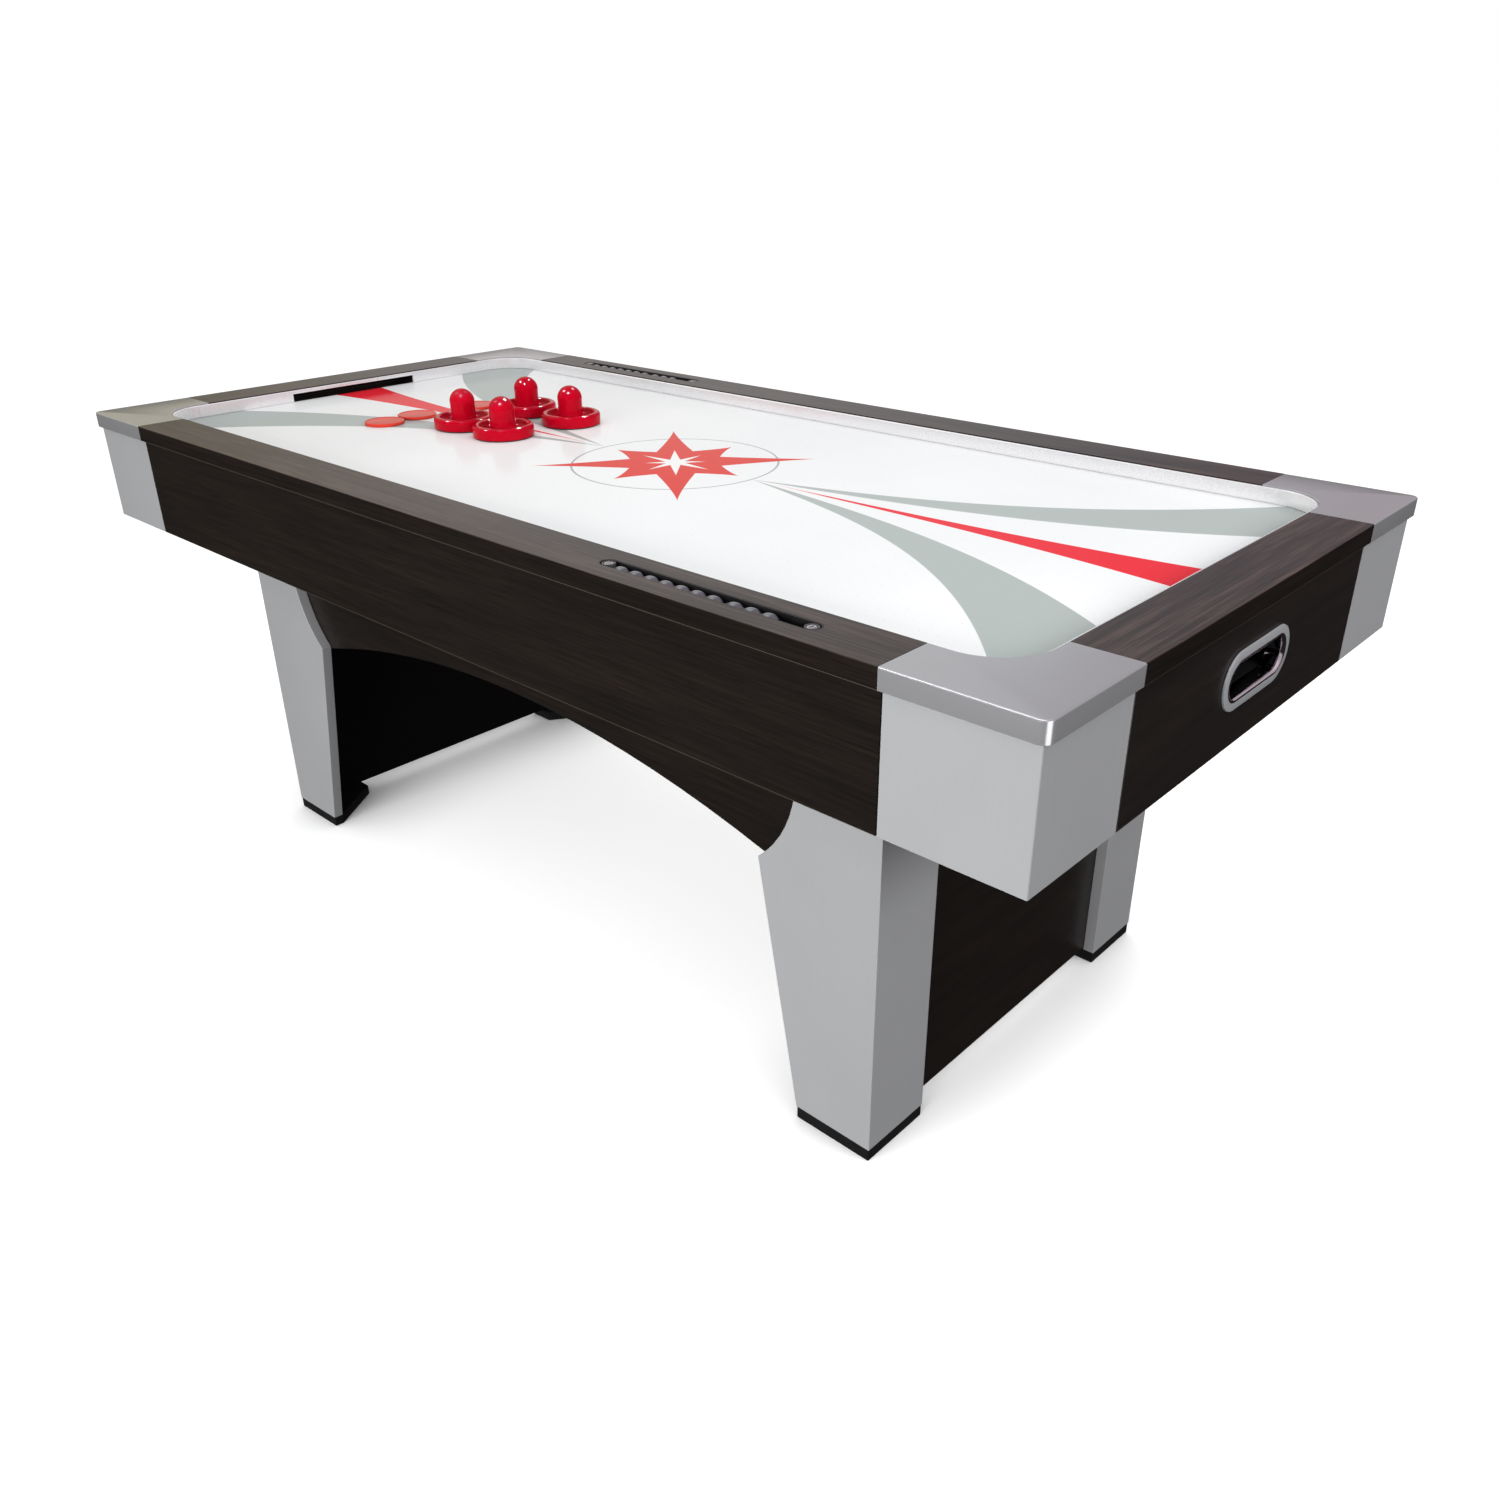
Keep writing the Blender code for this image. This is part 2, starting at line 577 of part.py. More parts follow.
def build_legs():
    """Four L-shaped legs on black pads."""
    for side_y, sign_y in SIDES_Y.items():
        for side_x, sign_x in SIDES_X.items():
            corner = side_y + "_" + side_x
            front = flipped(leg_front_outline(), sign_x, 1)
            depth = sorted((sign_y * LEG_Y, sign_y * (LEG_Y - LEG_BOARD)))
            leg = prism("leg_" + corner, front, *depth, 'Y', SILVER)
            xs = sorted((sign_x * LEG_X, sign_x * (LEG_X - LEG_BOARD)))
            ys = sorted((sign_y * LEG_Y, sign_y * (LEG_Y - LEG_SIDE_WIDTH)))
            side = boxes("leg_side_" + corner, [((xs[0], ys[0], FOOT_HEIGHT + GAP), (xs[1], ys[1], LEG_TOP))])
            combine(leg, side, 'UNION')
            foot = flipped(foot_outline(), sign_x, sign_y)
            prism("foot_pad_" + corner, foot, 0, FOOT_HEIGHT, 'Z', BLACK)


def arch_outline():
    """Board between two legs, in X and Z, with an arched lower edge."""
    half_span = LEG_X - KNEE_WIDTH - ARCH_END_GAP
    rise = ARCH_CROWN - ARCH_SPRING
    radius = (half_span ** 2 + rise ** 2) / (2 * rise)
    reach = math.degrees(math.asin(half_span / radius))
    half = PANEL_X - LEG_BOARD - GAP
    curve = arc((0, ARCH_CROWN - radius), radius, 90 + reach, 90 - reach, 20)
    return [(-half, ARCH_SPRING)] + curve + [(half, ARCH_SPRING), (half, LEG_TOP), (-half, LEG_TOP)]


def build_stand_boards():
    """Arched boards along the table and plain panels across it, behind the legs."""
    for side, sign in SIDES_Y.items():
        depth = sorted((sign * ARCH_Y, sign * (ARCH_Y - LEG_BOARD)))
        prism("arch_board_" + side, arch_outline(), *depth, 'Y', WOOD)
    for side, sign in SIDES_X.items():
        xs = sorted((sign * PANEL_X, sign * (PANEL_X - LEG_BOARD)))
        boxes("end_panel_" + side, [((xs[0], -ARCH_Y, PANEL_BOTTOM), (xs[1], ARCH_Y, LEG_TOP))], WOOD)


def scorer_centre(sign):
    """Middle of a scorer; the two are opposite each other through the table's middle."""
    return (-sign * SCORER_PLACE * HALF_LENGTH, sign * (HALF_WIDTH + RAIL_INNER_Y) / 2)


def build_scorers():
    """Score tracks with a rod between two bosses, and two trains of beads on each rod."""
    top = RAIL_TOP - GAP
    bottom = RAIL_TOP - SCORER_DEPTH
    axis = RAIL_TOP - BEAD_DROP
    for side, sign in SIDES_Y.items():
        centre = scorer_centre(sign)
        track = prism("scorer_track_" + side, stadium(centre, SCORER_LENGTH, SCORER_WIDTH), bottom, top, 'Z', BLACK)
        slot = stadium(centre, SCORER_LENGTH - 2 * SCORER_SHELL, SCORER_WIDTH - 2 * SCORER_SHELL)
        combine(track, prism("scorer_hollow_" + side, slot, bottom + SCORER_FLOOR, RAIL_TOP + 0.01, 'Z'),
                'DIFFERENCE')
        reach = SCORER_LENGTH / 2 - BOSS_PLACE
        floor = bottom + SCORER_FLOOR / 2
        ends = [centre[0] - reach, centre[0] + reach]
        bosses = [((place, centre[1], floor), (place, centre[1], top), BOSS_RADIUS) for place in ends]
        combine(track, rods("scorer_bosses_" + side, bosses), 'UNION')
        rod = ((ends[0], centre[1], axis), (ends[1], centre[1], axis), ROD_RADIUS)
        combine(track, rods("scorer_rod_" + side, [rod], segments=8), 'UNION')
        start = ends[0] + BOSS_RADIUS + GAP
        build_bead_train("score_beads_long_" + side, (start, centre[1], axis), BEADS_IN_LONG_TRAIN)
        start += BEADS_IN_LONG_TRAIN * BEAD_PITCH + TRAIN_GAP
        build_bead_train("score_beads_short_" + side, (start, centre[1], axis), BEADS_IN_SHORT_TRAIN)


def build_bead_train(name, start, count):
    """Touching barrel beads on a rod, running to +X from the start point."""
    profile = [(BEAD_BORE, 0), (BEAD_NECK, 0)]
    for index in range(count):
        base = -index * BEAD_PITCH
        profile.append((BEAD_RADIUS, base - BEAD_PITCH * 0.22))
        profile.append((BEAD_RADIUS, base - BEAD_PITCH * 0.78))
        profile.append((BEAD_NECK, base - BEAD_PITCH))
    profile.append((BEAD_BORE, -count * BEAD_PITCH))
    train = turned(name, profile, CHROME, 12, closed=True)
    train.location = start
    train.rotation_euler = (0, -math.pi / 2, 0)


def group_spot(spot):
    """Place on the playfield of a spot counted in striker diameters from the group's middle."""
    return (GROUP_PLACE * WELL_X + spot[0] * STRIKER_DIAMETER, spot[1] * STRIKER_DIAMETER)


def striker_profile():
    """Half section of a striker above its felt: dished disc with a domed knob."""
    radius = STRIKER_DIAMETER / 2
    knob = KNOB_DIAMETER / 2
    dome = arc((0, STRIKER_HEIGHT - knob), knob, 90, 0, 5)
    disc = [(knob, STRIKER_DISH), (radius * 0.86, STRIKER_DISH), (radius * 0.91, STRIKER_RIM),
            (radius * 0.97, STRIKER_RIM), (radius, STRIKER_RIM * 0.82), (radius, FELT_THICK + 2 * GAP)]
    return [(0, STRIKER_HEIGHT)] + dome[1:] + disc + [(0, FELT_THICK + 2 * GAP)]


def build_play_set():
    """Four strikers with felt soles, and the pucks."""
    for name, spot in STRIKER_SPOTS.items():
        place = (*group_spot(spot), FIELD_TOP)
        striker = turned(name, striker_profile(), RED, 24)
        striker.location = place
        radius = STRIKER_DIAMETER / 2 - FELT_INSET
        sole = [(0, GAP + FELT_THICK), (radius, GAP + FELT_THICK), (radius, GAP), (0, GAP)]
        felt = turned(name.replace("striker", "felt"), sole, BLACK, 24)
        felt.location = place
    radius = PUCK_DIAMETER / 2
    top = GAP + PUCK_THICK
    edge = PUCK_THICK * 0.3
    disc = [(0, top), (radius - edge, top), (radius, top - edge), (radius, GAP + edge), (radius - edge, GAP),
            (0, GAP)]
    for name, spot in PUCK_SPOTS.items():
        puck = turned(name, disc, RED, 24)
        puck.location = (*group_spot(spot), FIELD_TOP)


clear_scene()
build_rails()
build_corners()
build_aprons()
build_pockets()
build_well()
build_plenum()
build_blower()
build_inlet()
build_legs()
build_stand_boards()
build_scorers()
build_play_set()
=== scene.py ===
"""Looks of the air hockey table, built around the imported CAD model.

Metres, +Z up. The table's main lengths and places come from the boxes of the CAD nodes.
"""

import math

import bmesh
import bpy
from mathutils import Matrix, Vector


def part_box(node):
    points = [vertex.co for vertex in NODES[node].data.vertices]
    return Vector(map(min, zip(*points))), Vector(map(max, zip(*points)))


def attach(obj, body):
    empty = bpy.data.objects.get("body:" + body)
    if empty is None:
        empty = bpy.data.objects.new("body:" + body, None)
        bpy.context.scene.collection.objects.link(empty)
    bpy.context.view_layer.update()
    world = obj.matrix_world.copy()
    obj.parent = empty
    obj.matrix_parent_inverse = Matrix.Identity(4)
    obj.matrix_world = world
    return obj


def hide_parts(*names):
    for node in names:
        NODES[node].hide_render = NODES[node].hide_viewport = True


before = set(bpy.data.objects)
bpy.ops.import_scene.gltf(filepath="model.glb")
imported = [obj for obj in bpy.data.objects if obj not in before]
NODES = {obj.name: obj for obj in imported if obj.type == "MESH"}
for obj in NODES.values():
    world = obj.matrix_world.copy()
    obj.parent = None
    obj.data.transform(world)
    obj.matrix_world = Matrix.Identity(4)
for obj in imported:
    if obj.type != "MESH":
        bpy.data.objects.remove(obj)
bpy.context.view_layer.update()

SIDES_X = {"left": -1, "right": 1}
SIDES_Y = {"near": -1, "far": 1}
CORNERS = [(sy, sx) for sy in SIDES_Y for sx in SIDES_X]

# Planes and heights, most of them read from the CAD
HALF_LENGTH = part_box("rail_cap_right")[1].x
HALF_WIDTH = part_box("rail_cap_far")[1].y
RAIL_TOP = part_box("rail_cap_far")[1].z
RAIL_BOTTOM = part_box("rail_cap_far")[0].z
FIELD_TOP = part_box("playfield")[1].z
WELL_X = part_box("end_wall_right")[0].x
WALL_THICK = 0.004
WELL_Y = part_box("side_wall_far")[1].y - WALL_THICK
WELL_RADIUS = 0.075
APRON_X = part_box("apron_right")[1].x
CABINET_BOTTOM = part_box("apron_far")[0].z
CORNER_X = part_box("corner_cap_far_right")[0].x
CORNER_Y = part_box("corner_cap_far_right")[0].y
# Faces nearer to the middle than this are the leg frame's inner faces, by the board's direction; the wood
# laminate paints them near-black as painted shade
INSIDE = {'X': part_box("arch_board_far")[0].y + 0.003, 'Y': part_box("end_panel_right")[0].x + 0.003}

# Sizes that the boxes do not tell
GAP = 0.0003
CAP_ROUND = 0.0135
CAP_RIM_BEVEL = 0.0026
CAP_EDGE_BEVEL = 0.0005
WALL_DROP = 0.0018
GOAL_HEIGHT = 0.0165
GOAL_HALF_WIDTH = 0.148
BEZEL_WIDTH = 0.0168
TRACK_SHELL = 0.0012
TRACK_FLOOR = 0.0015
TRACK_END = 0.0125
ROD_DEPTH = 0.0104
ROD_RADIUS = 0.0015
BEAD_RADIUS = 0.0097
BEADS = {"long": 7, "short": 3}
KNOB_RADIUS = 0.0237
STRIKER_RIM_HEIGHT = 0.0235
STRIKER_DISH_HEIGHT = 0.0145

# The print on the playfield: its centre's offset, and its turns in radians
PRINT_OFFSET = 0.016
PRINT_TURN = 0.006
STAR_TURN = 0.022
RING_RADIUS = 0.178
HOLE_PITCH = 0.0254
HOLE_RADIUS = 0.00055


# ---------------------------------------------------------------- shader helpers

def set_stops(ramp, stops):
    """Stops of a colour ramp, from (place, colour or grey) pairs in rising order."""
    while len(ramp.elements) > 1:
        ramp.elements.remove(ramp.elements[-1])
    for index, (place, color) in enumerate(stops):
        stop = ramp.elements.new(place) if index else ramp.elements[0]
        stop.position = place
        stop.color = (*color, 1) if isinstance(color, tuple) else (color, color, color, 1)


class Shader:
    """A node material under construction."""

    def __init__(self, name):
        self.material = bpy.data.materials.new(name)
        self.material.use_nodes = True
        self.tree = self.material.node_tree
        self.tree.nodes.clear()
        self.out = self.tree.nodes.new("ShaderNodeOutputMaterial")
        self.surface = self.tree.nodes.new("ShaderNodeBsdfPrincipled")
        self.tree.links.new(self.surface.outputs[0], self.out.inputs["Surface"])
        self.coords = self.tree.nodes.new("ShaderNodeTexCoord").outputs["Object"]

    def put(self, socket, value):
        """Set a socket from a number, a tuple or another node's output."""
        if isinstance(value, bpy.types.NodeSocket):
            self.tree.links.new(value, socket)
        elif isinstance(value, tuple) and len(value) == 3 and len(socket.default_value) == 4:
            socket.default_value = (*value, 1)
        else:
            socket.default_value = value

    def set(self, **values):
        for name, value in values.items():
            self.put(self.surface.inputs[name.replace("_", " ").title().replace("Ior", "IOR")], value)
        return self

    def math(self, operation, a, b=0.0, c=0.0, clamp=False):
        node = self.tree.nodes.new("ShaderNodeMath")
        node.operation = operation
        node.use_clamp = clamp
        for socket, value in zip(node.inputs, (a, b, c)):
            self.put(socket, value)
        return node.outputs[0]

    def scaled(self, scale, turn=(0, 0, 0), shift=(0, 0, 0)):
        """Object coordinates turned, then scaled along each axis."""
        node = self.tree.nodes.new("ShaderNodeMapping")
        node.inputs["Scale"].default_value = scale
        node.inputs["Rotation"].default_value = turn
        node.inputs["Location"].default_value = shift
        self.tree.links.new(self.coords, node.inputs["Vector"])
        return node.outputs[0]

    def noise(self, vector, scale=1.0, detail=4.0, rough=0.5, distortion=0.0):
        node = self.tree.nodes.new("ShaderNodeTexNoise")
        self.tree.links.new(vector, node.inputs["Vector"])
        node.inputs["Scale"].default_value = scale
        node.inputs["Detail"].default_value = detail
        node.inputs["Roughness"].default_value = rough
        node.inputs["Distortion"].default_value = distortion
        return node.outputs[0]

    def cells(self, vector, scale):
        node = self.tree.nodes.new("ShaderNodeTexVoronoi")
        self.tree.links.new(vector, node.inputs["Vector"])
        node.inputs["Scale"].default_value = scale
        return node.outputs["Color"]

    def ramp(self, factor, *stops):
        node = self.tree.nodes.new("ShaderNodeValToRGB")
        self.put(node.inputs[0], factor)
        set_stops(node.color_ramp, stops)
        return node.outputs[0]

    def mix(self, factor, a, b):
        node = self.tree.nodes.new("ShaderNodeMix")
        node.data_type = 'RGBA'
        self.put(node.inputs["Factor"], factor)
        self.put(node.inputs[6], a)
        self.put(node.inputs[7], b)
        return node.outputs[2]

    def span(self, value, low, high, to_low=0.0, to_high=1.0):
        """A clamped linear map."""
        node = self.tree.nodes.new("ShaderNodeMapRange")
        for socket, given in zip(node.inputs[:5], (value, low, high, to_low, to_high)):
            self.put(socket, given)
        return node.outputs[0]

    def axes(self):
        node = self.tree.nodes.new("ShaderNodeSeparateXYZ")
        self.tree.links.new(self.coords, node.inputs[0])
        return node.outputs

    def bump(self, height, depth, strength=1.0):
        node = self.tree.nodes.new("ShaderNodeBump")
        node.inputs["Strength"].default_value = strength
        node.inputs["Distance"].default_value = depth
        self.put(node.inputs["Height"], height)
        self.tree.links.new(node.outputs[0], self.surface.inputs["Normal"])
        return self


def grain_scale(along, across, length):
    """Texture scale of a grain that runs along one axis."""
    return tuple(length if axis == along else across for axis in "XYZ")


# The first tones below are painted light for the rail caps' top face, lighter than the laminate's own side
# tones.
LIT_TOP_TONES_PAINTED = ((0.0060, 0.0036, 0.0030), (0.0260, 0.0165, 0.0135), (0.0780, 0.0500, 0.0410))
SIDE_TONES = ((0.0068, 0.0054, 0.0046), (0.0105, 0.0080, 0.0067), (0.0172, 0.0124, 0.0100))


def wood_laminate(name, along, shine, painted_lit_top=False):
    """Espresso wood-grain foil: streaks and pores, a pale painted-highlight line along the lower edges of the
    rail caps and the cabinet, lighter painted-light tones on the rail caps' top face, and painted shade on
    the leg frame's inner faces.
    """
    s = Shader(name)
    broad = s.noise(s.scaled(grain_scale(along, 34, 2.4)), 1, 3, 0.55, 0.8)
    streak = s.noise(s.scaled(grain_scale(along, 330, 7.5)), 1, 5, 0.62, 0.3)
    pore = s.noise(s.scaled(grain_scale(along, 900, 26)), 1, 2, 0.5)
    tone = s.math('ADD', s.math('MULTIPLY', broad, 0.35), s.math('MULTIPLY', streak, 0.65))
    color = s.ramp(tone, (0.36, SIDE_TONES[0]), (0.50, SIDE_TONES[1]), (0.66, SIDE_TONES[2]))
    # Painted light: the rail caps' top face gets the lighter tones.
    if painted_lit_top:
        painted_lit_tones = s.ramp(tone, (0.36, LIT_TOP_TONES_PAINTED[0]), (0.50, LIT_TOP_TONES_PAINTED[1]), (0.66, LIT_TOP_TONES_PAINTED[2]))
        color = s.mix(s.span(s.axes()[2], RAIL_TOP - 0.0012, RAIL_TOP - 0.0006), color, painted_lit_tones)
    dots = s.span(pore, 0.60, 0.72)
    color = s.mix(s.math('MULTIPLY', dots, 0.5), color, (0.003, 0.002, 0.0018))
    height = s.axes()[2]
    # Painted highlight: a pale band just above the lower edges of the rail caps and the cabinet.
    painted_edge_highlight = None
    for low in (RAIL_BOTTOM, CABINET_BOTTOM):
        inside = s.math('MULTIPLY', s.math('GREATER_THAN', height, low - 0.0001),
                        s.math('LESS_THAN', height, low + 0.0013))
        painted_edge_highlight = inside if painted_edge_highlight is None else s.math('ADD', painted_edge_highlight, inside, clamp=True)
    color = s.mix(s.math('MULTIPLY', painted_edge_highlight, 0.55), color, (0.10, 0.085, 0.066))
    # Painted shade: the leg frame's inner faces below the cabinet are made near-black.
    across = s.math('ABSOLUTE', s.axes()[1 if along == 'X' else 0])
    painted_inner_shade = s.math('MULTIPLY', s.math('LESS_THAN', across, INSIDE[along]),
                    s.math('LESS_THAN', height, CABINET_BOTTOM - 0.0005))
    color = s.mix(s.math('MULTIPLY', painted_inner_shade, 0.85), color, (0.0012, 0.0012, 0.0012))
    rough = s.span(pore, 0.3, 0.7, 0.33, 0.37)
    s.set(base_color=color, roughness=rough, specular_ior_level=shine)
    s.bump(s.math('ADD', s.math('MULTIPLY', streak, 0.15), pore), 0.00008, 0.25)
    return s.material


def silver_paint(name, tone, rough, metallic, streaks='Z'):
    """Satin silver foil: very fine flake, faint drawn streaks and soft clouding."""
    s = Shader(name)
    flake = s.noise(s.scaled((2600, 2600, 2600)), 1, 2, 0.6)
    drawn = s.noise(s.scaled(grain_scale(streaks, 700, 9)), 1, 4, 0.6)
    cloud = s.noise(s.scaled((5, 5, 5)), 1, 2, 0.5)
    value = s.math('ADD', s.math('MULTIPLY', flake, 0.5), s.math('MULTIPLY', drawn, 0.2))
    value = s.math('ADD', value, s.math('MULTIPLY', cloud, 0.3))
    low = tuple(c * 0.94 for c in tone)
    high = tuple(min(1.0, c * 1.06) for c in tone)
    s.set(base_color=s.ramp(value, (0.35, low), (0.65, high)), metallic=metallic,
          roughness=s.span(flake, 0.3, 0.7, rough - 0.05, rough + 0.05))
    s.bump(s.math('ADD', flake, s.math('MULTIPLY', drawn, 0.3)), 0.00004, 0.2)
    return s.material


def metal(name, tone, rough, along=None, depth=0.00002, spread=0.05):
    """Metal with brushing along an axis, or with a fine even grain."""
    s = Shader(name)
    scale = grain_scale(along, 1500, 6) if along else (700, 700, 700)
    brushed = s.noise(s.scaled(scale), 1, 4, 0.65)
    smear = s.noise(s.scaled((14, 14, 14)), 1, 3, 0.5)
    low = tuple(c * 0.93 for c in tone)
    s.set(base_color=s.ramp(brushed, (0.3, low), (0.7, tone)), metallic=1.0,
          roughness=s.span(s.math('ADD', brushed, smear), 0.7, 1.3,
                           max(0.02, rough - spread), rough + spread))
    s.bump(brushed, depth, 0.25)
    return s.material


def plastic(name, tone, rough, grain=900, depth=0.00004, strength=0.2, wear=0.15, shine=0.5, ior=1.5):
    """Moulded plastic or rubber with a fine texture and slight tone changes."""
    s = Shader(name)
    fine = s.noise(s.scaled((grain, grain, grain)), 1, 3, 0.55)
    cloud = s.noise(s.scaled((30, 30, 30)), 1, 3, 0.5)
    low = tuple(c * (1 - wear) for c in tone)
    high = tuple(min(1.0, c * (1 + wear)) for c in tone)
    s.set(base_color=s.ramp(cloud, (0.35, low), (0.65, high)),
          roughness=s.span(fine, 0.3, 0.7, max(0.03, rough - 0.03), rough + 0.03),
          specular_ior_level=shine, ior=ior)
    s.bump(fine, depth, strength)
    return s.material


def felt_cloth(name):
    s = Shader(name)
    fibre = s.noise(s.scaled((1800, 1800, 900)), 1, 5, 0.7, 0.8)
    s.set(base_color=s.ramp(fibre, (0.3, (0.004, 0.004, 0.004)), (0.7, (0.022, 0.022, 0.024))),
          roughness=s.span(fibre, 0.3, 0.7, 0.86, 0.98), sheen_weight=0.25, sheen_roughness=0.6)
    s.bump(fibre, 0.0003, 0.6)
    return s.material


def raw_board(name):
    """Pale fibreboard with short flecks."""
    s = Shader(name)
    fleck = s.cells(s.scaled((260, 260, 420)), 1)
    fibre = s.noise(s.scaled((60, 400, 400)), 1, 5, 0.7)
    board = s.ramp(fibre, (0.3, (0.34, 0.24, 0.145)), (0.7, (0.47, 0.35, 0.23)))
    color = s.mix(s.math('MULTIPLY', fleck, 0.4), board, (0.28, 0.19, 0.11))
    s.set(base_color=color, roughness=s.span(fibre, 0.3, 0.7, 0.66, 0.8))
    s.bump(s.math('ADD', fibre, fleck), 0.0002, 0.35)
    return s.material


def playfield_print(name):
    """Glossy white sheet with air holes, printed with plain bands, an eight-point star and a thin ring."""
    s = Shader(name)

    def turned(x, y, angle):
        """Coordinates turned clockwise, so that the print turns the other way."""
        cosine, sine = math.cos(angle), math.sin(angle)
        return (s.math('ADD', s.math('MULTIPLY', x, cosine), s.math('MULTIPLY', y, sine)),
                s.math('SUBTRACT', s.math('MULTIPLY', y, cosine), s.math('MULTIPLY', x, sine)))

    x, y = turned(*(s.math('SUBTRACT', s.axes()[k], PRINT_OFFSET) for k in (0, 1)), PRINT_TURN)
    soft = 0.0005
    ax, ay = s.math('ABSOLUTE', x), s.math('ABSOLUTE', y)

    def below(value, limit, blur=soft):
        """1 where value is under the limit."""
        gap = s.math('SUBTRACT', limit, value)
        return s.span(gap, -blur, blur)

    def cubic(linear, bend):
        """linear * u + bend * u cubed, where u is the distance past the ring."""
        return s.math('MULTIPLY', u, s.math('MULTIPLY_ADD', s.math('MULTIPLY', u, u), bend, linear))

    u = s.math('MAXIMUM', s.math('SUBTRACT', ax, 0.18), 0.0)
    past = s.span(u, 0.0, 0.004)
    inner_edge = s.math('SUBTRACT', 1.0, below(ay, cubic(0.14, 0.30)))
    grey = s.math('MULTIPLY', below(ay, cubic(0.25, 0.62)), inner_edge)
    grey = s.math('MULTIPLY', grey, past)
    red = s.math('MULTIPLY', below(ay, cubic(0.016, 0.08)), s.span(u, 0.02, 0.16))

    def length_of(a, b):
        return s.math('SQRT', s.math('ADD', s.math('MULTIPLY', a, a), s.math('MULTIPLY', b, b)))

    distance = length_of(x, y)
    ring = below(s.math('ABSOLUTE', s.math('SUBTRACT', distance, RING_RADIUS)), 0.0019)

    x, y = turned(x, y, STAR_TURN)
    ax, ay = s.math('ABSOLUTE', x), s.math('ABSOLUTE', y)
    major, minor = s.math('MAXIMUM', ax, ay), s.math('MINIMUM', ax, ay)
    tip_short, tip_long, notch_x, notch_y = 0.150, 0.255, 0.0795, 0.0329

    def point_of(along, across, tip, notch, half_width):
        """Negative inside a hollow-sided point of the star."""
        room = s.math('MAXIMUM', s.math('DIVIDE', s.math('SUBTRACT', tip, along), tip - notch), 0.0)
        return s.math('SUBTRACT', across, s.math('MULTIPLY', s.math('POWER', room, 1.35), half_width))

    diagonal = s.math('MULTIPLY', s.math('ADD', major, minor), math.sqrt(0.5))
    off_diagonal = s.math('MULTIPLY', s.math('SUBTRACT', major, minor), math.sqrt(0.5))
    star = below(s.math('MINIMUM', point_of(major, minor, tip_short, notch_x, notch_y),
                        point_of(diagonal, off_diagonal, tip_long, notch_x, notch_y)), -0.0007)

    def ray(along, across, half_width, reach):
        """A thin needle on both sides of the centre."""
        room = s.math('MULTIPLY', s.math('SUBTRACT', 1.0, s.math('DIVIDE', along, reach)), half_width)
        return below(across, room)

    d1 = s.math('ABSOLUTE', s.math('MULTIPLY', s.math('ADD', x, y), math.sqrt(0.5)))
    d2 = s.math('ABSOLUTE', s.math('MULTIPLY', s.math('SUBTRACT', x, y), math.sqrt(0.5)))
    spark = below(distance, 0.016)
    for along, across, half_width, reach in ((d2, d1, 0.011, 0.088), (d1, d2, 0.009, 0.052),
                                             (ax, ay, 0.0095, 0.078), (ay, ax, 0.0095, 0.064)):
        spark = s.math('MAXIMUM', spark, ray(along, across, half_width, reach))

    hole_x = s.math('SUBTRACT', s.math('FRACT', s.math('DIVIDE', x, HOLE_PITCH)), 0.5)
    hole_y = s.math('SUBTRACT', s.math('FRACT', s.math('DIVIDE', y, HOLE_PITCH)), 0.5)
    holes = below(s.math('MULTIPLY', length_of(hole_x, hole_y), HOLE_PITCH), HOLE_RADIUS, 0.0002)

    wash = s.noise(s.scaled((2.2, 2.2, 2.2)), 1, 3, 0.5)
    color = s.ramp(wash, (0.35, (0.85, 0.86, 0.865)), (0.65, (0.905, 0.908, 0.910)))
    color = s.mix(grey, color, (0.440, 0.485, 0.470))
    color = s.mix(red, color, (0.80, 0.024, 0.040))
    color = s.mix(ring, color, (0.42, 0.45, 0.46))
    color = s.mix(star, color, (0.72, 0.038, 0.026))
    color = s.mix(spark, color, (0.90, 0.89, 0.88))
    color = s.mix(s.math('MULTIPLY', holes, 0.65), color, (0.25, 0.26, 0.27))
    fine = s.noise(s.scaled((500, 500, 500)), 1, 2, 0.5)
    s.set(base_color=color, roughness=s.span(wash, 0.3, 0.7, 0.10, 0.16), specular_ior_level=0.5, ior=1.09)
    s.bump(s.math('SUBTRACT', s.math('MULTIPLY', fine, 0.1), holes), 0.0001, 0.15)
    return s.material


RAIL_X = wood_laminate("rail_laminate_x", 'X', 0.22, True)
RAIL_Y = wood_laminate("rail_laminate_y", 'Y', 0.26, True)
WOOD_X = wood_laminate("laminate_along_x", 'X', 0.40)
WOOD_Y = wood_laminate("laminate_along_y", 'Y', 0.58)
CAP_SILVER = silver_paint("cap_silver", (0.40, 0.402, 0.415), 0.22, 0.52, 'X')
BOARD_SILVER = silver_paint("board_silver", (0.48, 0.485, 0.495), 0.34, 0.30, 'Z')
FIELD = playfield_print("playfield_sheet")
ALUMINIUM = silver_paint("polished_extrusion", (0.86, 0.86, 0.87), 0.27, 0.5, 'Z')
CHROME = metal("bright_chrome", (0.86, 0.87, 0.88), 0.07, None, 0.00001, 0.03)
BEZEL = silver_paint("satin_bezel", (0.50, 0.51, 0.53), 0.26, 0.4, 'Y')
BEAD = metal("bead_chrome", (0.20, 0.21, 0.23), 0.10, None, 0.00001, 0.03)
STEEL = metal("rolled_steel", (0.46, 0.47, 0.48), 0.36, 'Z', 0.00004)
SCREW = metal("screw_steel", (0.42, 0.42, 0.43), 0.28, None, 0.00003)
BOSS = plastic("boss_grey", (0.035, 0.036, 0.038), 0.30, 700, 0.00002)
BLACK = plastic("black_plastic", (0.010, 0.010, 0.011), 0.42)
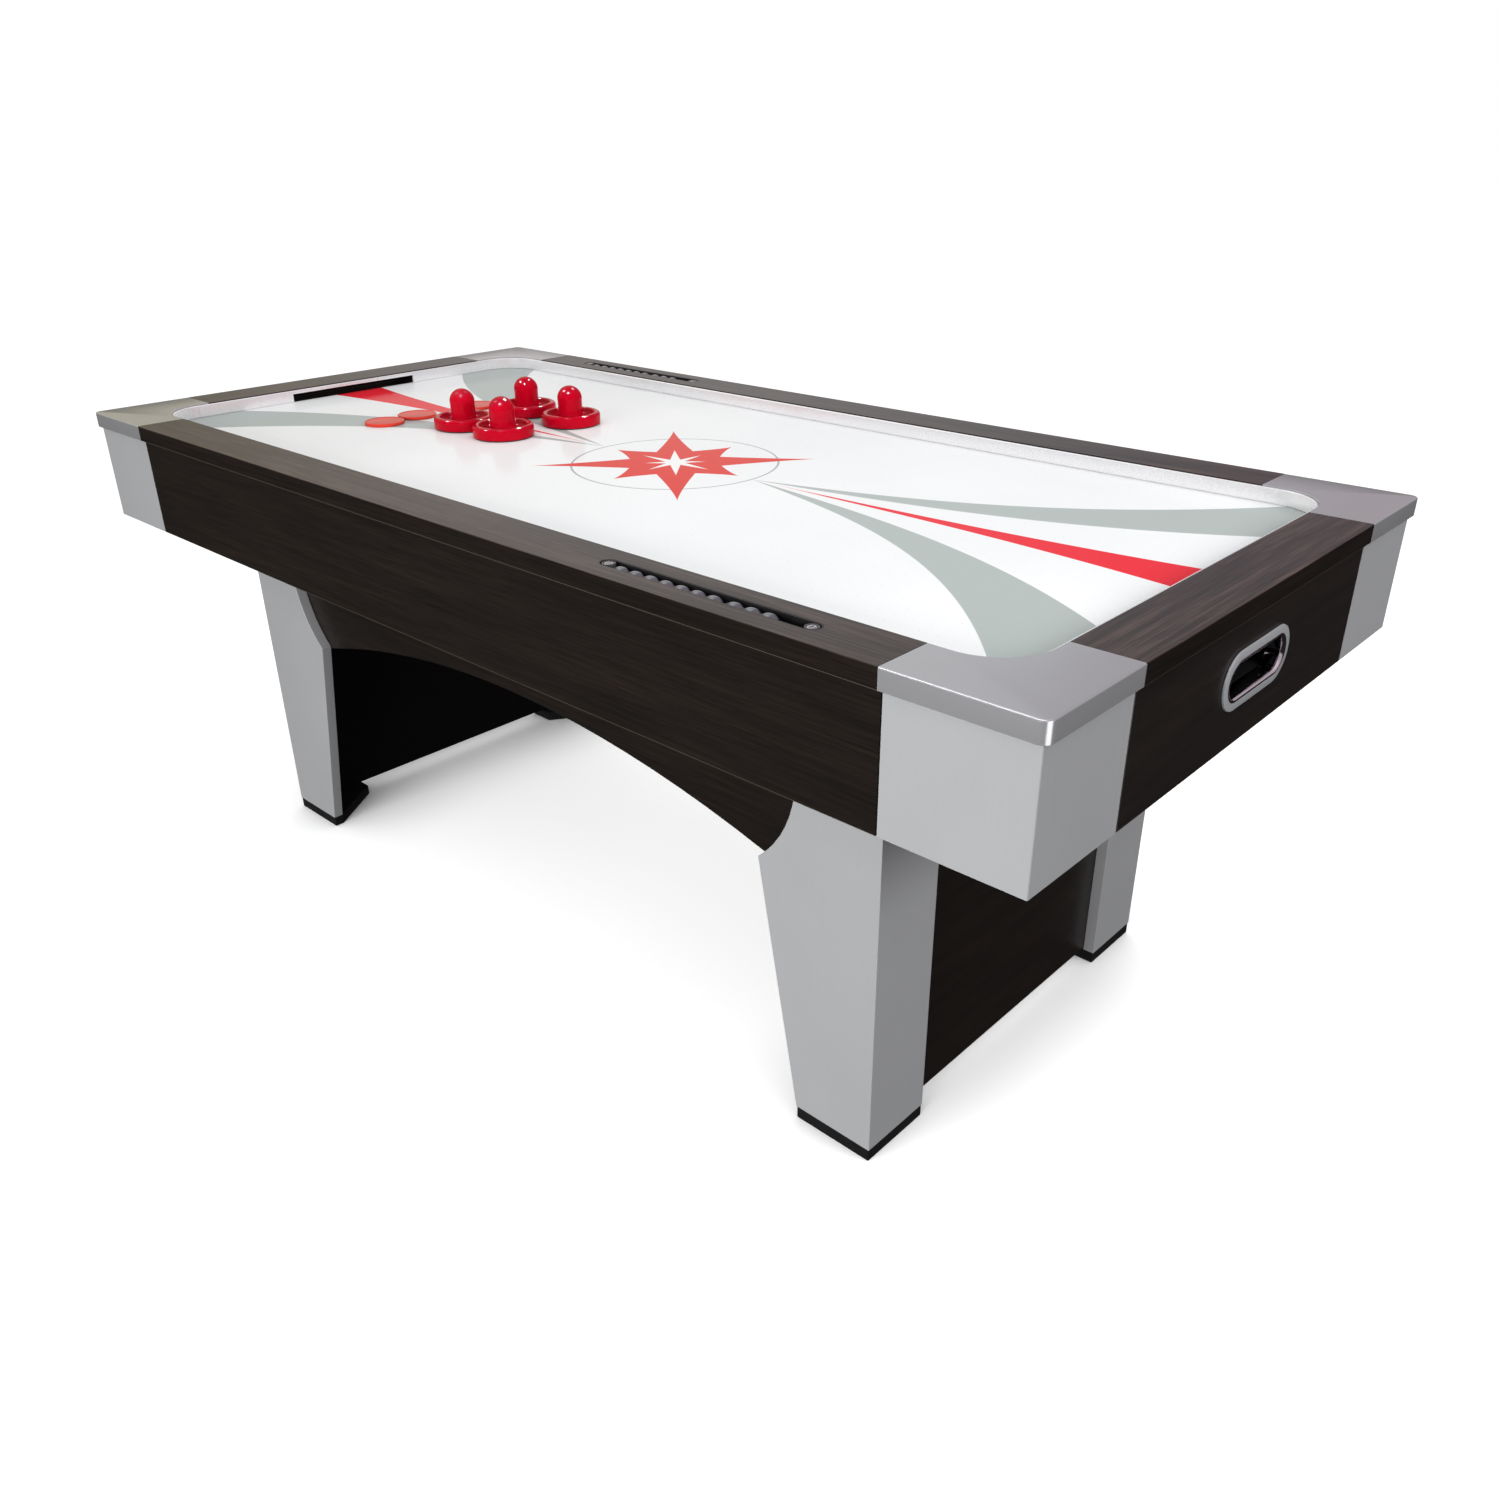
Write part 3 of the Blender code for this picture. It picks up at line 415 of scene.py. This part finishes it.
RUBBER = plastic("foot_rubber", (0.009, 0.009, 0.0095), 0.62, 500, 0.0001)
RED = plastic("red_gloss", (0.455, 0.0010, 0.013), 0.06, 400, 0.00001, 0.10, 0.05, 0.5, 1.16)
PUCK_RED = plastic("puck_red", (0.66, 0.045, 0.026), 0.22, 400, 0.00002, 0.12, 0.05, 0.12)
FELT = felt_cloth("black_felt")
RAW = raw_board("raw_fibreboard")

# Pieces that some lamps are kept to
GLOSSY_SET = bpy.data.collections.new("glossy_set")
CAP_SET = bpy.data.collections.new("cap_set")
FIELD_SET = bpy.data.collections.new("field_set")
CABINET_SET = bpy.data.collections.new("cabinet_set")


# ---------------------------------------------------------------- shape helpers

def new_object(name, shape, material, body="table", slot=None, stands_for=(), smooth=35):
    """Finish a bmesh as a piece of the model."""
    bmesh.ops.remove_doubles(shape, verts=shape.verts, dist=0.000005)
    bmesh.ops.recalc_face_normals(shape, faces=shape.faces)
    limit = math.radians(smooth)
    for face in shape.faces:
        face.smooth = True
    for edge in shape.edges:
        edge.smooth = len(edge.link_faces) == 2 and edge.calc_face_angle(0) < limit
    mesh = bpy.data.meshes.new(name)
    shape.to_mesh(mesh)
    shape.free()
    mesh.materials.append(material)
    obj = bpy.data.objects.new(name, mesh)
    bpy.context.scene.collection.objects.link(obj)
    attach(obj, body)
    if stands_for:
        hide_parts(*stands_for)
    return obj


def lathe_into(shape, profile, centre, segments, axis='Z'):
    """Turn a (radius, height) profile about an axis through the centre."""
    rings = []
    for radius, height in profile:
        if radius < 1e-6:
            rings.append([Vector((0, 0, height))])
            continue
        angles = [2 * math.pi * k / segments for k in range(segments)]
        rings.append([Vector((radius * math.cos(angle), radius * math.sin(angle), height))
                      for angle in angles])
    turn = {'Z': Matrix.Identity(3), 'X': Matrix.Rotation(math.pi / 2, 3, 'Y')}[axis]
    rings = [[shape.verts.new(Vector(centre) + turn @ point) for point in ring] for ring in rings]
    for low, high in zip(rings, rings[1:]):
        for k in range(segments):
            following = (k + 1) % segments
            corners = [low[k % len(low)], low[following % len(low)], high[following % len(high)],
                       high[k % len(high)]]
            unique = list(dict.fromkeys(corners))
            if len(unique) > 2:
                shape.faces.new(unique)


def lathe(name, profile, centre, material, body="table", segments=64, axis='Z', closed=False, **rest):
    shape = bmesh.new()
    lathe_into(shape, profile + profile[:1] if closed else profile, centre, segments, axis)
    return new_object(name, shape, material, body, **rest)


def prism_into(shape, outline, low, high):
    """An outline in X and Y made solid between two heights."""
    lows = [shape.verts.new((u, v, low)) for u, v in outline]
    highs = [shape.verts.new((u, v, high)) for u, v in outline]
    shape.faces.new(lows)
    shape.faces.new(highs)
    count = len(outline)
    for k in range(count):
        shape.faces.new((lows[k], lows[(k + 1) % count], highs[(k + 1) % count], highs[k]))


def loft_into(shape, loops, closed_path=True, closed_profile=False):
    """Faces between following loops of the same length."""
    rings = [[shape.verts.new(point) for point in loop] for loop in loops]
    pairs = list(zip(rings, rings[1:]))
    if closed_profile:
        pairs.append((rings[-1], rings[0]))
    for low, high in pairs:
        count = len(low) if closed_path else len(low) - 1
        for k in range(count):
            following = (k + 1) % len(low)
            shape.faces.new((low[k], low[following], high[following], high[k]))
    return rings


def arc(centre, radius, start, end, steps):
    points = []
    for k in range(steps + 1):
        angle = math.radians(start + (end - start) * k / steps)
        points.append((centre[0] + radius * math.cos(angle), centre[1] + radius * math.sin(angle)))
    return points


def stadium(centre, length, width, steps=16):
    reach = (length - width) / 2
    right = arc((centre[0] + reach, centre[1]), width / 2, -90, 90, steps)
    return right + arc((centre[0] - reach, centre[1]), width / 2, 90, 270, steps)


def flipped(outline, sign_u, sign_v):
    return [(u * sign_u, v * sign_v) for u, v in outline]


def dress(name, material, width=0.0008, segments=2, angle=32):
    """Give a CAD node its material and lightly rounded edges."""
    obj = NODES[name]
    obj.data.materials.clear()
    obj.data.materials.append(material)
    weld = obj.modifiers.new("weld", 'WELD')
    weld.merge_threshold = 0.00001
    flat = obj.modifiers.new("flat", 'DECIMATE')
    flat.decimate_type = 'DISSOLVE'
    flat.angle_limit = math.radians(0.5)
    if width:
        soft = obj.modifiers.new("soft", 'BEVEL')
        soft.width = width
        soft.segments = segments
        soft.limit_method = 'ANGLE'
        soft.angle_limit = math.radians(angle)
        soft.harden_normals = True
    for face in obj.data.polygons:
        face.use_smooth = True
    smooth = obj.modifiers.new("shading", 'WEIGHTED_NORMAL')
    smooth.keep_sharp = False
    return obj


# ---------------------------------------------------------------- cabinet

def corner_cap_outline():
    """Round outside corner and the well's round corner inside; the outside points come first."""
    outside = arc((HALF_LENGTH - CAP_ROUND, HALF_WIDTH - CAP_ROUND), CAP_ROUND, 90, 0, 10)
    centre = (WELL_X - WELL_RADIUS, WELL_Y - WELL_RADIUS)
    inside = arc(centre, WELL_RADIUS + WALL_THICK + GAP, 0, 90, 24)
    inner_x, inner_y = WELL_X + WALL_THICK + GAP, WELL_Y + WALL_THICK + GAP
    outline = [(CORNER_X, HALF_WIDTH)] + outside + [(HALF_LENGTH, CORNER_Y)]
    return outline, [(inner_x, CORNER_Y)] + inside + [(CORNER_X, inner_y)]


def build_corner_caps():
    outside, inside = corner_cap_outline()
    for side_y, side_x in CORNERS:
        shape = bmesh.new()
        sign_x, sign_y = SIDES_X[side_x], SIDES_Y[side_y]
        prism_into(shape, flipped(outside + inside, sign_x, sign_y), RAIL_BOTTOM, RAIL_TOP)
        on_rim = [Vector((u * sign_x, v * sign_y)) for u, v in outside]

        def rim_edge(edge):
            return all(min((v.co.xy - p).length for p in on_rim) < 1e-6 and v.co.z > RAIL_TOP - 1e-6
                       for v in edge.verts)

        bmesh.ops.recalc_face_normals(shape, faces=shape.faces)
        others = [e for e in shape.edges if e.calc_face_angle(0) > 0.6 and not rim_edge(e)]
        rims = [e for e in shape.edges if rim_edge(e) and e.calc_face_angle(0) > 0.6]
        bmesh.ops.bevel(shape, geom=rims, offset=CAP_RIM_BEVEL, segments=4, profile=0.5, affect='EDGES')
        others = [e for e in others if e.is_valid]
        bmesh.ops.bevel(shape, geom=others, offset=CAP_EDGE_BEVEL, segments=1, profile=0.5, affect='EDGES')
        corner = side_y + "_" + side_x
        cap = new_object("cap_" + corner, shape, CAP_SILVER, slot="silver_cap",
                         stands_for=["corner_cap_" + corner])
        CAP_SET.objects.link(cap)


def well_path(steps=24):
    """One quarter of the well's corner, as (arc centre x, y, outward x, outward y) at each step."""
    centre = (WELL_X - WELL_RADIUS, WELL_Y - WELL_RADIUS)
    points = []
    for k in range(steps + 1):
        angle = math.radians(90 * k / steps)
        points.append((centre[0], centre[1], math.cos(angle), math.sin(angle)))
    return points


def wall_profile():
    """Section of the well wall: (outward offset, height), with a foot groove and a rounded top lip."""
    top, low = RAIL_TOP - WALL_DROP, FIELD_TOP + GAP
    return [(0.0012, low), (0.0012, low + 0.0012), (0.0, low + 0.0014),
            (0.0, top - 0.0018), (0.0002, top - 0.0011), (0.0006, top - 0.0005), (0.0013, top - 0.0001),
            (0.0021, top), (WALL_THICK - 0.0007, top), (WALL_THICK - 0.0002, top - 0.0002),
            (WALL_THICK, top - 0.0008), (WALL_THICK, low)]


def build_side_walls():
    """Long well walls that wrap the round corners."""
    for side, sign in SIDES_Y.items():
        path = well_path()
        full = path + [(-cx, cy, -ox, oy) for cx, cy, ox, oy in reversed(path)]
        loops = []
        for offset, height in wall_profile():
            reach = WELL_RADIUS + offset
            loops.append([(cx + ox * reach, sign * (cy + oy * reach), height) for cx, cy, ox, oy in full])
        shape = bmesh.new()
        rings = loft_into(shape, loops, closed_path=False, closed_profile=True)
        shape.faces.new([ring[0] for ring in rings])
        shape.faces.new([ring[-1] for ring in rings])
        new_object("well_wall_" + side, shape, ALUMINIUM, slot="wall_aluminium",
                   stands_for=["side_wall_" + side])


def build_end_walls():
    """End well walls in three lengths: two beside the goal and the lintel over it."""
    half = WELL_Y - WELL_RADIUS - GAP
    lintel = FIELD_TOP + GOAL_HEIGHT
    section = wall_profile()
    upper = [(0.0, lintel)] + section[3:-1] + [(WALL_THICK, lintel)]
    lengths = ((section, -half, -GOAL_HALF_WIDTH), (upper, -GOAL_HALF_WIDTH, GOAL_HALF_WIDTH),
               (section, GOAL_HALF_WIDTH, half))
    for side, sign in SIDES_X.items():
        shape = bmesh.new()
        for profile, start, end in lengths:
            loops = [[(sign * (WELL_X + offset), start, height), (sign * (WELL_X + offset), end, height)]
                     for offset, height in profile]
            rings = loft_into(shape, loops, closed_path=False, closed_profile=True)
            for k in (0, -1):
                shape.faces.new([ring[k] for ring in rings])
        new_object("well_end_" + side, shape, ALUMINIUM, slot="wall_aluminium",
                   stands_for=["end_wall_" + side])


def build_pocket_rings():
    """Puck return: satin bezel, bright raised lip and a deep sleeve."""
    low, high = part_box("pocket_ring_right")
    centre_z = (low.z + high.z) / 2
    length, width = high.y - low.y, high.z - low.z
    face, front, back = APRON_X + GAP, high.x, low.x
    for side, sign in SIDES_X.items():
        def loops(profile):
            outlines = [(x, stadium((0, centre_z), length - 2 * inset, width - 2 * inset, 20))
                        for inset, x in profile]
            return [[(sign * x, u, v) for u, v in outline] for x, outline in outlines]

        flat = [(0.0008, face), (0.0, face + 0.0008), (0.0, front - 0.0022), (0.0006, front - 0.0012),
                (0.0018, front - 0.0008), (0.0112, front - 0.0008), (0.0112, face)]
        shape = bmesh.new()
        loft_into(shape, loops(flat), closed_profile=True)
        new_object("pocket_bezel_" + side, shape, BEZEL, slot="ring_chrome",
                   stands_for=["pocket_ring_" + side])
        lip = [(0.0114, face), (0.0114, front - 0.0006), (0.0122, front - 0.0001), (0.0132, front),
               (0.0144, front - 0.0003), (0.0156, front - 0.0014), (0.0164, front - 0.0034),
               (BEZEL_WIDTH, front - 0.006), (BEZEL_WIDTH, back), (BEZEL_WIDTH - 0.0018, back),
               (BEZEL_WIDTH - 0.0018, face)]
        shape = bmesh.new()
        loft_into(shape, loops(lip), closed_profile=True)
        new_object("pocket_sleeve_" + side, shape, CHROME, slot="ring_chrome")


# ---------------------------------------------------------------- score tracks

def build_scorers():
    for side in SIDES_Y:
        low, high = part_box("scorer_track_" + side)
        centre = ((low.x + high.x) / 2, (low.y + high.y) / 2)
        length, width = high.x - low.x, high.y - low.y
        top, bottom = high.z, low.z

        def loop(inset, z):
            return [(u, v, z) for u, v in stadium(centre, length - 2 * inset, width - 2 * inset)]

        shape = bmesh.new()
        rings = loft_into(shape, [loop(0, bottom), loop(0, top - 0.0003), loop(0.0003, top),
                                  loop(TRACK_SHELL - 0.0003, top), loop(TRACK_SHELL, top - 0.0003),
                                  loop(TRACK_SHELL, bottom + TRACK_FLOOR)])
        shape.faces.new(rings[0])
        shape.faces.new(rings[-1])
        new_object("track_" + side, shape, BLACK, slot="black_plastic", stands_for=["scorer_track_" + side])
        reach = length / 2 - TRACK_END
        axis = RAIL_TOP - ROD_DEPTH
        rod = [(0, -reach), (ROD_RADIUS, -reach), (ROD_RADIUS, reach), (0, reach)]
        lathe("score_rod_" + side, rod, (*centre, axis), CHROME, segments=24, axis='X', slot="bead_chrome")
        for end, sign in (("a", -1), ("b", 1)):
            spot = (centre[0] + sign * reach, centre[1])
            build_boss("boss_" + side + "_" + end, spot, bottom + TRACK_FLOOR, top)
        for train in BEADS:
            build_beads(side, train, axis)


def build_boss(name, spot, bottom, top):
    """Round end of a score track with a cross-head screw in it."""
    collar = [(0.0, bottom), (0.0091, bottom), (0.0095, bottom + 0.0004), (0.0095, top - 0.0010),
              (0.0091, top - 0.0004), (0.0084, top - 0.0001), (0.0074, top - 0.0002), (0.0070, top - 0.0010),
              (0.0, top - 0.0010)]
    lathe(name, collar, (*spot, 0), BOSS, segments=48, slot="black_plastic")
    build_screw(name + "_screw", spot, top)


def build_screw(name, spot, top):
    """Domed screw head whose vertices sink inside a cross."""
    head = [(0.0066, top - 0.0010), (0.0064, top - 0.0007), (0.0054, top - 0.0003), (0.0034, top)]
    segments, cross_radius, cross_half, cross_depth = 48, 0.0050, 0.0011, 0.0014
    shape = bmesh.new()
    rings = []
    for radius, height in head:
        ring = []
        for k in range(segments):
            angle = 2 * math.pi * k / segments
            in_cross = abs(math.sin(2 * angle)) * radius < cross_half and radius < cross_radius
            x, y = spot[0] + radius * math.cos(angle), spot[1] + radius * math.sin(angle)
            ring.append(shape.verts.new((x, y, height - (cross_depth if in_cross else 0))))
        rings.append(ring)
    for low, high in zip(rings, rings[1:]):
        for k in range(segments):
            following = (k + 1) % segments
            shape.faces.new((low[k], low[following], high[following], high[k]))
    hub = shape.verts.new((*spot, top - 0.0016))
    for k in range(segments):
        shape.faces.new((rings[-1][k], rings[-1][(k + 1) % segments], hub))
    shape.faces.new(rings[0][::-1])
    new_object(name, shape, SCREW, slot="bead_chrome")


def bead_profile(half):
    """Closed (radius, place) section of a barrel bead round its rod hole."""
    end_face = [(0.0021, -half), (0.0050, -half), (0.0058, -half + 0.0004), (0.0062, -half + 0.0012)]
    shoulder, edge_angle, steps = 0.0058, 62, 8
    barrel = []
    for k in range(steps + 1):
        swing = math.radians(-edge_angle + 2 * edge_angle * k / steps)
        barrel.append((shoulder + (BEAD_RADIUS - shoulder) * (math.cos(swing) - 0.47) / 0.53,
                       (half - 0.0022) * math.sin(swing) / math.sin(math.radians(edge_angle))))
    return end_face + barrel + [(radius, -place) for radius, place in reversed(end_face)]


def build_beads(side, train, axis):
    """Barrel beads of one train, each its own piece."""
    node = "score_beads_" + train + "_" + side
    low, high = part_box(node)
    centre_y = (low.y + high.y) / 2
    pitch = (high.x - low.x) / BEADS[train]
    profile = bead_profile(pitch / 2 - 0.0001)
    for index in range(BEADS[train]):
        spot = (low.x + pitch * (index + 0.5), centre_y, axis)
        lathe(f"bead_{side}_{train}_{index + 1}", profile, spot, BEAD, node, 48, 'X', True,
              slot="bead_chrome", stands_for=() if index else [node])


# ---------------------------------------------------------------- play set

def striker_profile(radius, height, base):
    """Half section: flat base, rolled rim, dished disc and a domed knob."""
    rim_top, dish, knob = STRIKER_RIM_HEIGHT, STRIKER_DISH_HEIGHT, KNOB_RADIUS
    profile = [(0, base), (radius - 0.0012, base), (radius - 0.0003, base + 0.0004), (radius, base + 0.0014)]
    profile += arc((radius - 0.0062, rim_top - 0.0062), 0.0062, 0, 90, 9)
    profile += arc((radius - 0.0088, rim_top - 0.0040), 0.0040, 90, 165, 5)
    profile += [(radius - 0.0135, dish + 0.0026), (radius - 0.0150, dish + 0.0007), (radius - 0.0175, dish)]
    profile += [(knob + 0.0040, dish), (knob + 0.0014, dish + 0.0006), (knob + 0.0003, dish + 0.0022)]
    profile += [(knob - 0.0003, dish + 0.012), (knob - 0.0004, height - knob - 0.004)]
    dome = arc((0, 0), 1.0, 0, 90, 14)
    profile += [(knob * u, height - knob + knob * v) for u, v in dome[:-1]] + [(0, height)]
    return profile


def build_play_set():
    for place in ("front", "right", "back", "left"):
        node = "striker_" + place
        low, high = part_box(node)
        centre = ((low.x + high.x) / 2, (low.y + high.y) / 2, 0)
        radius = (high.x - low.x) / 2
        profile = striker_profile(radius, high.z - FIELD_TOP, low.z - FIELD_TOP)
        profile = [(r, FIELD_TOP + h) for r, h in profile]
        mallet = lathe("mallet_" + place, profile, centre, RED, node, 96, slot="red_plastic",
                       stands_for=[node])
        GLOSSY_SET.objects.link(mallet)
        low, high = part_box("felt_" + place)
        radius = (high.x - low.x) / 2
        sole = [(0, low.z), (radius - 0.0003, low.z), (radius, low.z + 0.0003), (radius, high.z - 0.0003),
                (radius - 0.0003, high.z), (0, high.z)]
        lathe("sole_" + place, sole, centre, FELT, node, 96, slot="felt", stands_for=["felt_" + place])
    for index in (1, 2, 3):
        node = f"puck_{index}"
        low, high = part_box(node)
        centre = ((low.x + high.x) / 2, (low.y + high.y) / 2, 0)
        radius = (high.x - low.x) / 2
        z0, z1 = low.z, high.z
        disc = [(0, z0), (radius - 0.0016, z0), (radius - 0.0006, z0 + 0.0005),
                (radius - 0.0001, z0 + 0.0014), (radius, z0 + 0.0022), (radius, z1 - 0.0020),
                (radius - 0.0001, z1 - 0.0012),
                (radius - 0.0006, z1 - 0.0004), (radius - 0.0014, z1), (radius - 0.0050, z1),
                (radius - 0.0058, z1 - 0.0006), (radius - 0.0066, z1 - 0.0007), (0, z1 - 0.0007)]
        lathe("disc_" + str(index), disc, centre, PUCK_RED, node, 80, slot="red_plastic", stands_for=[node])


# ---------------------------------------------------------------- carried-over CAD nodes

def dress_nodes():
    for side in SIDES_Y:
        dress("rail_cap_" + side, RAIL_X, 0.0012, 3)
        dress("apron_" + side, WOOD_X, 0.0008)
        dress("arch_board_" + side, WOOD_X, 0.0010)
    for side in SIDES_X:
        dress("rail_cap_" + side, RAIL_Y, 0.0012, 3)
        CAP_SET.objects.link(dress("apron_" + side, WOOD_Y, 0.0008))
        dress("end_panel_" + side, WOOD_Y, 0.0010)
        dress("puck_tray_" + side, BLACK, 0.0004, 1)
    for side_y, side_x in CORNERS:
        corner = side_y + "_" + side_x
        dress("corner_block_" + corner, BOARD_SILVER, 0.0004, 1)
        dress("leg_" + corner, BOARD_SILVER, 0.0011)
        dress("foot_pad_" + corner, RUBBER, 0.0012)
    FIELD_SET.objects.link(dress("playfield", FIELD, 0))
    lit_from_behind = ("apron_far", "apron_left", "arch_board_far", "end_panel_left", "corner_block_", "leg_")
    for name in NODES:
        if name.startswith(lit_from_behind):
            CABINET_SET.objects.link(NODES[name])
    dress("plenum_tray", RAW, 0.0006)
    dress("blower_housing", BLACK, 0.0004, 1, 45)
    dress("blower_impeller", BLACK, 0, 1, 45)
    dress("blower_motor", STEEL, 0.0006, 2, 45)
    dress("power_inlet", BLACK, 0.0004)
    dress("switch_rocker", BLACK, 0.0004)


# ---------------------------------------------------------------- camera, light and floor

def build_camera():
    azimuth, elevation, roll = 0.749, 0.4667, -0.0084
    back = Vector((math.sin(azimuth) * math.cos(elevation), -math.cos(azimuth) * math.cos(elevation),
                   math.sin(elevation)))
    right = Vector((0, 0, 1)).cross(back).normalized()
    up = back.cross(right)
    tilted_right = math.cos(roll) * right + math.sin(roll) * up
    tilted_up = -math.sin(roll) * right + math.cos(roll) * up
    camera = bpy.data.objects.new("camera", bpy.data.cameras.new("camera"))
    camera.matrix_world = Matrix((
        (tilted_right.x, tilted_up.x, back.x, 1.5762),
        (tilted_right.y, tilted_up.y, back.y, -1.4718),
        (tilted_right.z, tilted_up.z, back.z, 1.3318),
        (0, 0, 0, 1)))
    camera.data.sensor_width = 36
    camera.data.lens = 30.02
    camera.data.shift_x = -0.0019
    camera.data.shift_y = 0.0017
    camera.data.clip_end = 100
    camera.data.dof.use_dof = False
    bpy.context.scene.collection.objects.link(camera)
    bpy.context.scene.camera = camera


def build_world():
    """White for the camera; for reflections a bright upper half over a dark lower half, tinted by side."""
    world = bpy.data.worlds.new("studio")
    bpy.context.scene.world = world
    world.use_nodes = True
    tree = world.node_tree
    tree.nodes.clear()
    link = tree.links.new

    def node(kind, **settings):
        made = tree.nodes.new(kind)
        for key, value in settings.items():
            setattr(made, key, value)
        return made

    out = node("ShaderNodeOutputWorld")
    direction = node("ShaderNodeSeparateXYZ")
    link(node("ShaderNodeTexCoord").outputs["Generated"], direction.inputs[0])
    height = node("ShaderNodeValToRGB")
    link(direction.outputs[2], height.inputs[0])
    set_stops(height.color_ramp, ((0.0, (0.035, 0.034, 0.033)), (0.10, 0.45), (0.22, 0.90), (0.60, 0.80),
                                  (0.85, 1.3)))
    leftward = node("ShaderNodeMath", operation='MULTIPLY')
    link(direction.outputs[0], leftward.inputs[0])
    leftward.inputs[1].default_value = -1
    tint = node("ShaderNodeValToRGB")
    link(leftward.outputs[0], tint.inputs[0])
    set_stops(tint.color_ramp, ((0.24, (0.52, 0.42, 0.47)), (0.40, (0.66, 0.63, 0.68)),
                                (0.52, (1.0, 1.0, 1.02)), (0.68, (1.25, 1.22, 1.20)),
                                (0.80, (1.30, 1.20, 1.16)),
                                (0.87, (0.86, 0.80, 0.66)), (0.92, (0.66, 0.60, 0.40))))
    tinted = node("ShaderNodeMix", data_type='RGBA', blend_type='MULTIPLY')
    tinted.inputs["Factor"].default_value = 1
    link(height.outputs[0], tinted.inputs[6])
    link(tint.outputs[0], tinted.inputs[7])

    rays = node("ShaderNodeLightPath")
    glossy = node("ShaderNodeBackground")
    link(tinted.outputs[2], glossy.inputs[0])
    fill = node("ShaderNodeValToRGB")
    link(direction.outputs[2], fill.inputs[0])
    set_stops(fill.color_ramp, ((0.0, (0.14, 0.14, 0.145)), (0.12, (0.56, 0.565, 0.57))))
    soft = node("ShaderNodeBackground")
    link(fill.outputs[0], soft.inputs[0])
    white = node("ShaderNodeBackground")
    white.inputs[0].default_value = (1, 1, 1, 1)
    first = node("ShaderNodeMixShader")
    link(rays.outputs["Is Glossy Ray"], first.inputs[0])
    link(soft.outputs[0], first.inputs[1])
    link(glossy.outputs[0], first.inputs[2])
    second = node("ShaderNodeMixShader")
    link(rays.outputs["Is Camera Ray"], second.inputs[0])
    link(first.outputs[0], second.inputs[1])
    link(white.outputs[0], second.inputs[2])
    link(second.outputs[0], out.inputs["Surface"])


def area_light(name, place, target, size, power, glossy=True):
    data = bpy.data.lights.new(name, 'AREA')
    data.shape = 'RECTANGLE'
    data.size, data.size_y = size
    data.energy = power
    lamp = bpy.data.objects.new(name, data)
    lamp.location = place
    lamp.rotation_euler = (Vector(target) - Vector(place)).to_track_quat('-Z', 'Y').to_euler()
    lamp.visible_glossy = glossy
    lamp.visible_camera = False
    bpy.context.scene.collection.objects.link(lamp)
    return lamp


def highlight(name, place, target, size, power):
    """A lamp that shows only as a reflection."""
    lamp = area_light(name, place, target, size, power, True)
    lamp.visible_diffuse = False
    lamp.visible_transmission = False
    return lamp


def build_studio():
    area_light("overhead", (0.3, 0.2, 3.4), (0.1, 0, 0.8), (4.5, 3.5), 30, False)
    field_fill = area_light("field_fill", (0.3, 0.2, 3.4), (0.1, 0, 0.8), (4.5, 3.5), 10, False)
    field_fill.light_linking.receiver_collection = FIELD_SET
    back_fill = area_light("back_fill", (-2.7, 3.3, 1.3), (-0.2, 0.2, 0.45), (3.0, 1.8), 95, False)
    back_fill.light_linking.receiver_collection = CABINET_SET
    area_light("long_side", (0.5, -3.35, 1.05), (0.05, -0.3, 0.4), (2.6, 1.5), 118, False)
    area_light("end_side", (3.9, 0.5, 2.2), (1.0, 0, 0.75), (2.2, 1.2), 72, False)
    for index, (x, y) in enumerate(((-1.9, -1.1), (0.6, -1.3), (-0.6, 1.5))):
        spot = highlight(f"spot_{index}", (x, y, 3.3), (-0.45, 0, 0.8), (0.55, 0.30), 330)
        spot.light_linking.receiver_collection = GLOSSY_SET
    for strip in (highlight("edge_strip", (0.2, -2.3, 3.6), (0.2, -0.4, 0.8), (5.5, 0.45), 95),
                  highlight("end_strip", (4.3, -1.1, 0.3), (1.0, -0.4, 0.8), (2.6, 3.0), 80)):
        strip.light_linking.receiver_collection = CAP_SET
    shape = bmesh.new()
    corners = [shape.verts.new((u * 30, v * 30, 0)) for u, v in ((-1, -1), (1, -1), (1, 1), (-1, 1))]
    shape.faces.new(corners)
    mesh = bpy.data.meshes.new("floor")
    shape.to_mesh(mesh)
    shape.free()
    floor = bpy.data.objects.new("floor", mesh)
    bpy.context.scene.collection.objects.link(floor)
    s = Shader("floor_white")
    # The floor glows; an ambient occlusion node dims the glow near the table and its feet, painting the
    # contact shadow.
    painted_contact_shadow = s.tree.nodes.new("ShaderNodeAmbientOcclusion")
    painted_contact_shadow.inputs["Distance"].default_value = 0.30
    s.set(base_color=s.ramp(s.noise(s.scaled((3, 3, 3))), (0.3, 0.91), (0.7, 0.93)),
          roughness=1.0, specular_ior_level=0.0, emission_color=(1.0, 1.0, 1.0),
          emission_strength=s.span(painted_contact_shadow.outputs["AO"], 0.45, 0.95, 0.06, 0.50))
    mesh.materials.append(s.material)
    floor.visible_glossy = False
    floor.visible_diffuse = False
    floor.visible_shadow = False


build_camera()
build_world()
build_studio()
dress_nodes()
build_corner_caps()
build_side_walls()
build_end_walls()
build_pocket_rings()
build_scorers()
build_play_set()

settings = bpy.context.scene.view_settings
settings.view_transform = 'Standard'
settings.look = 'None'
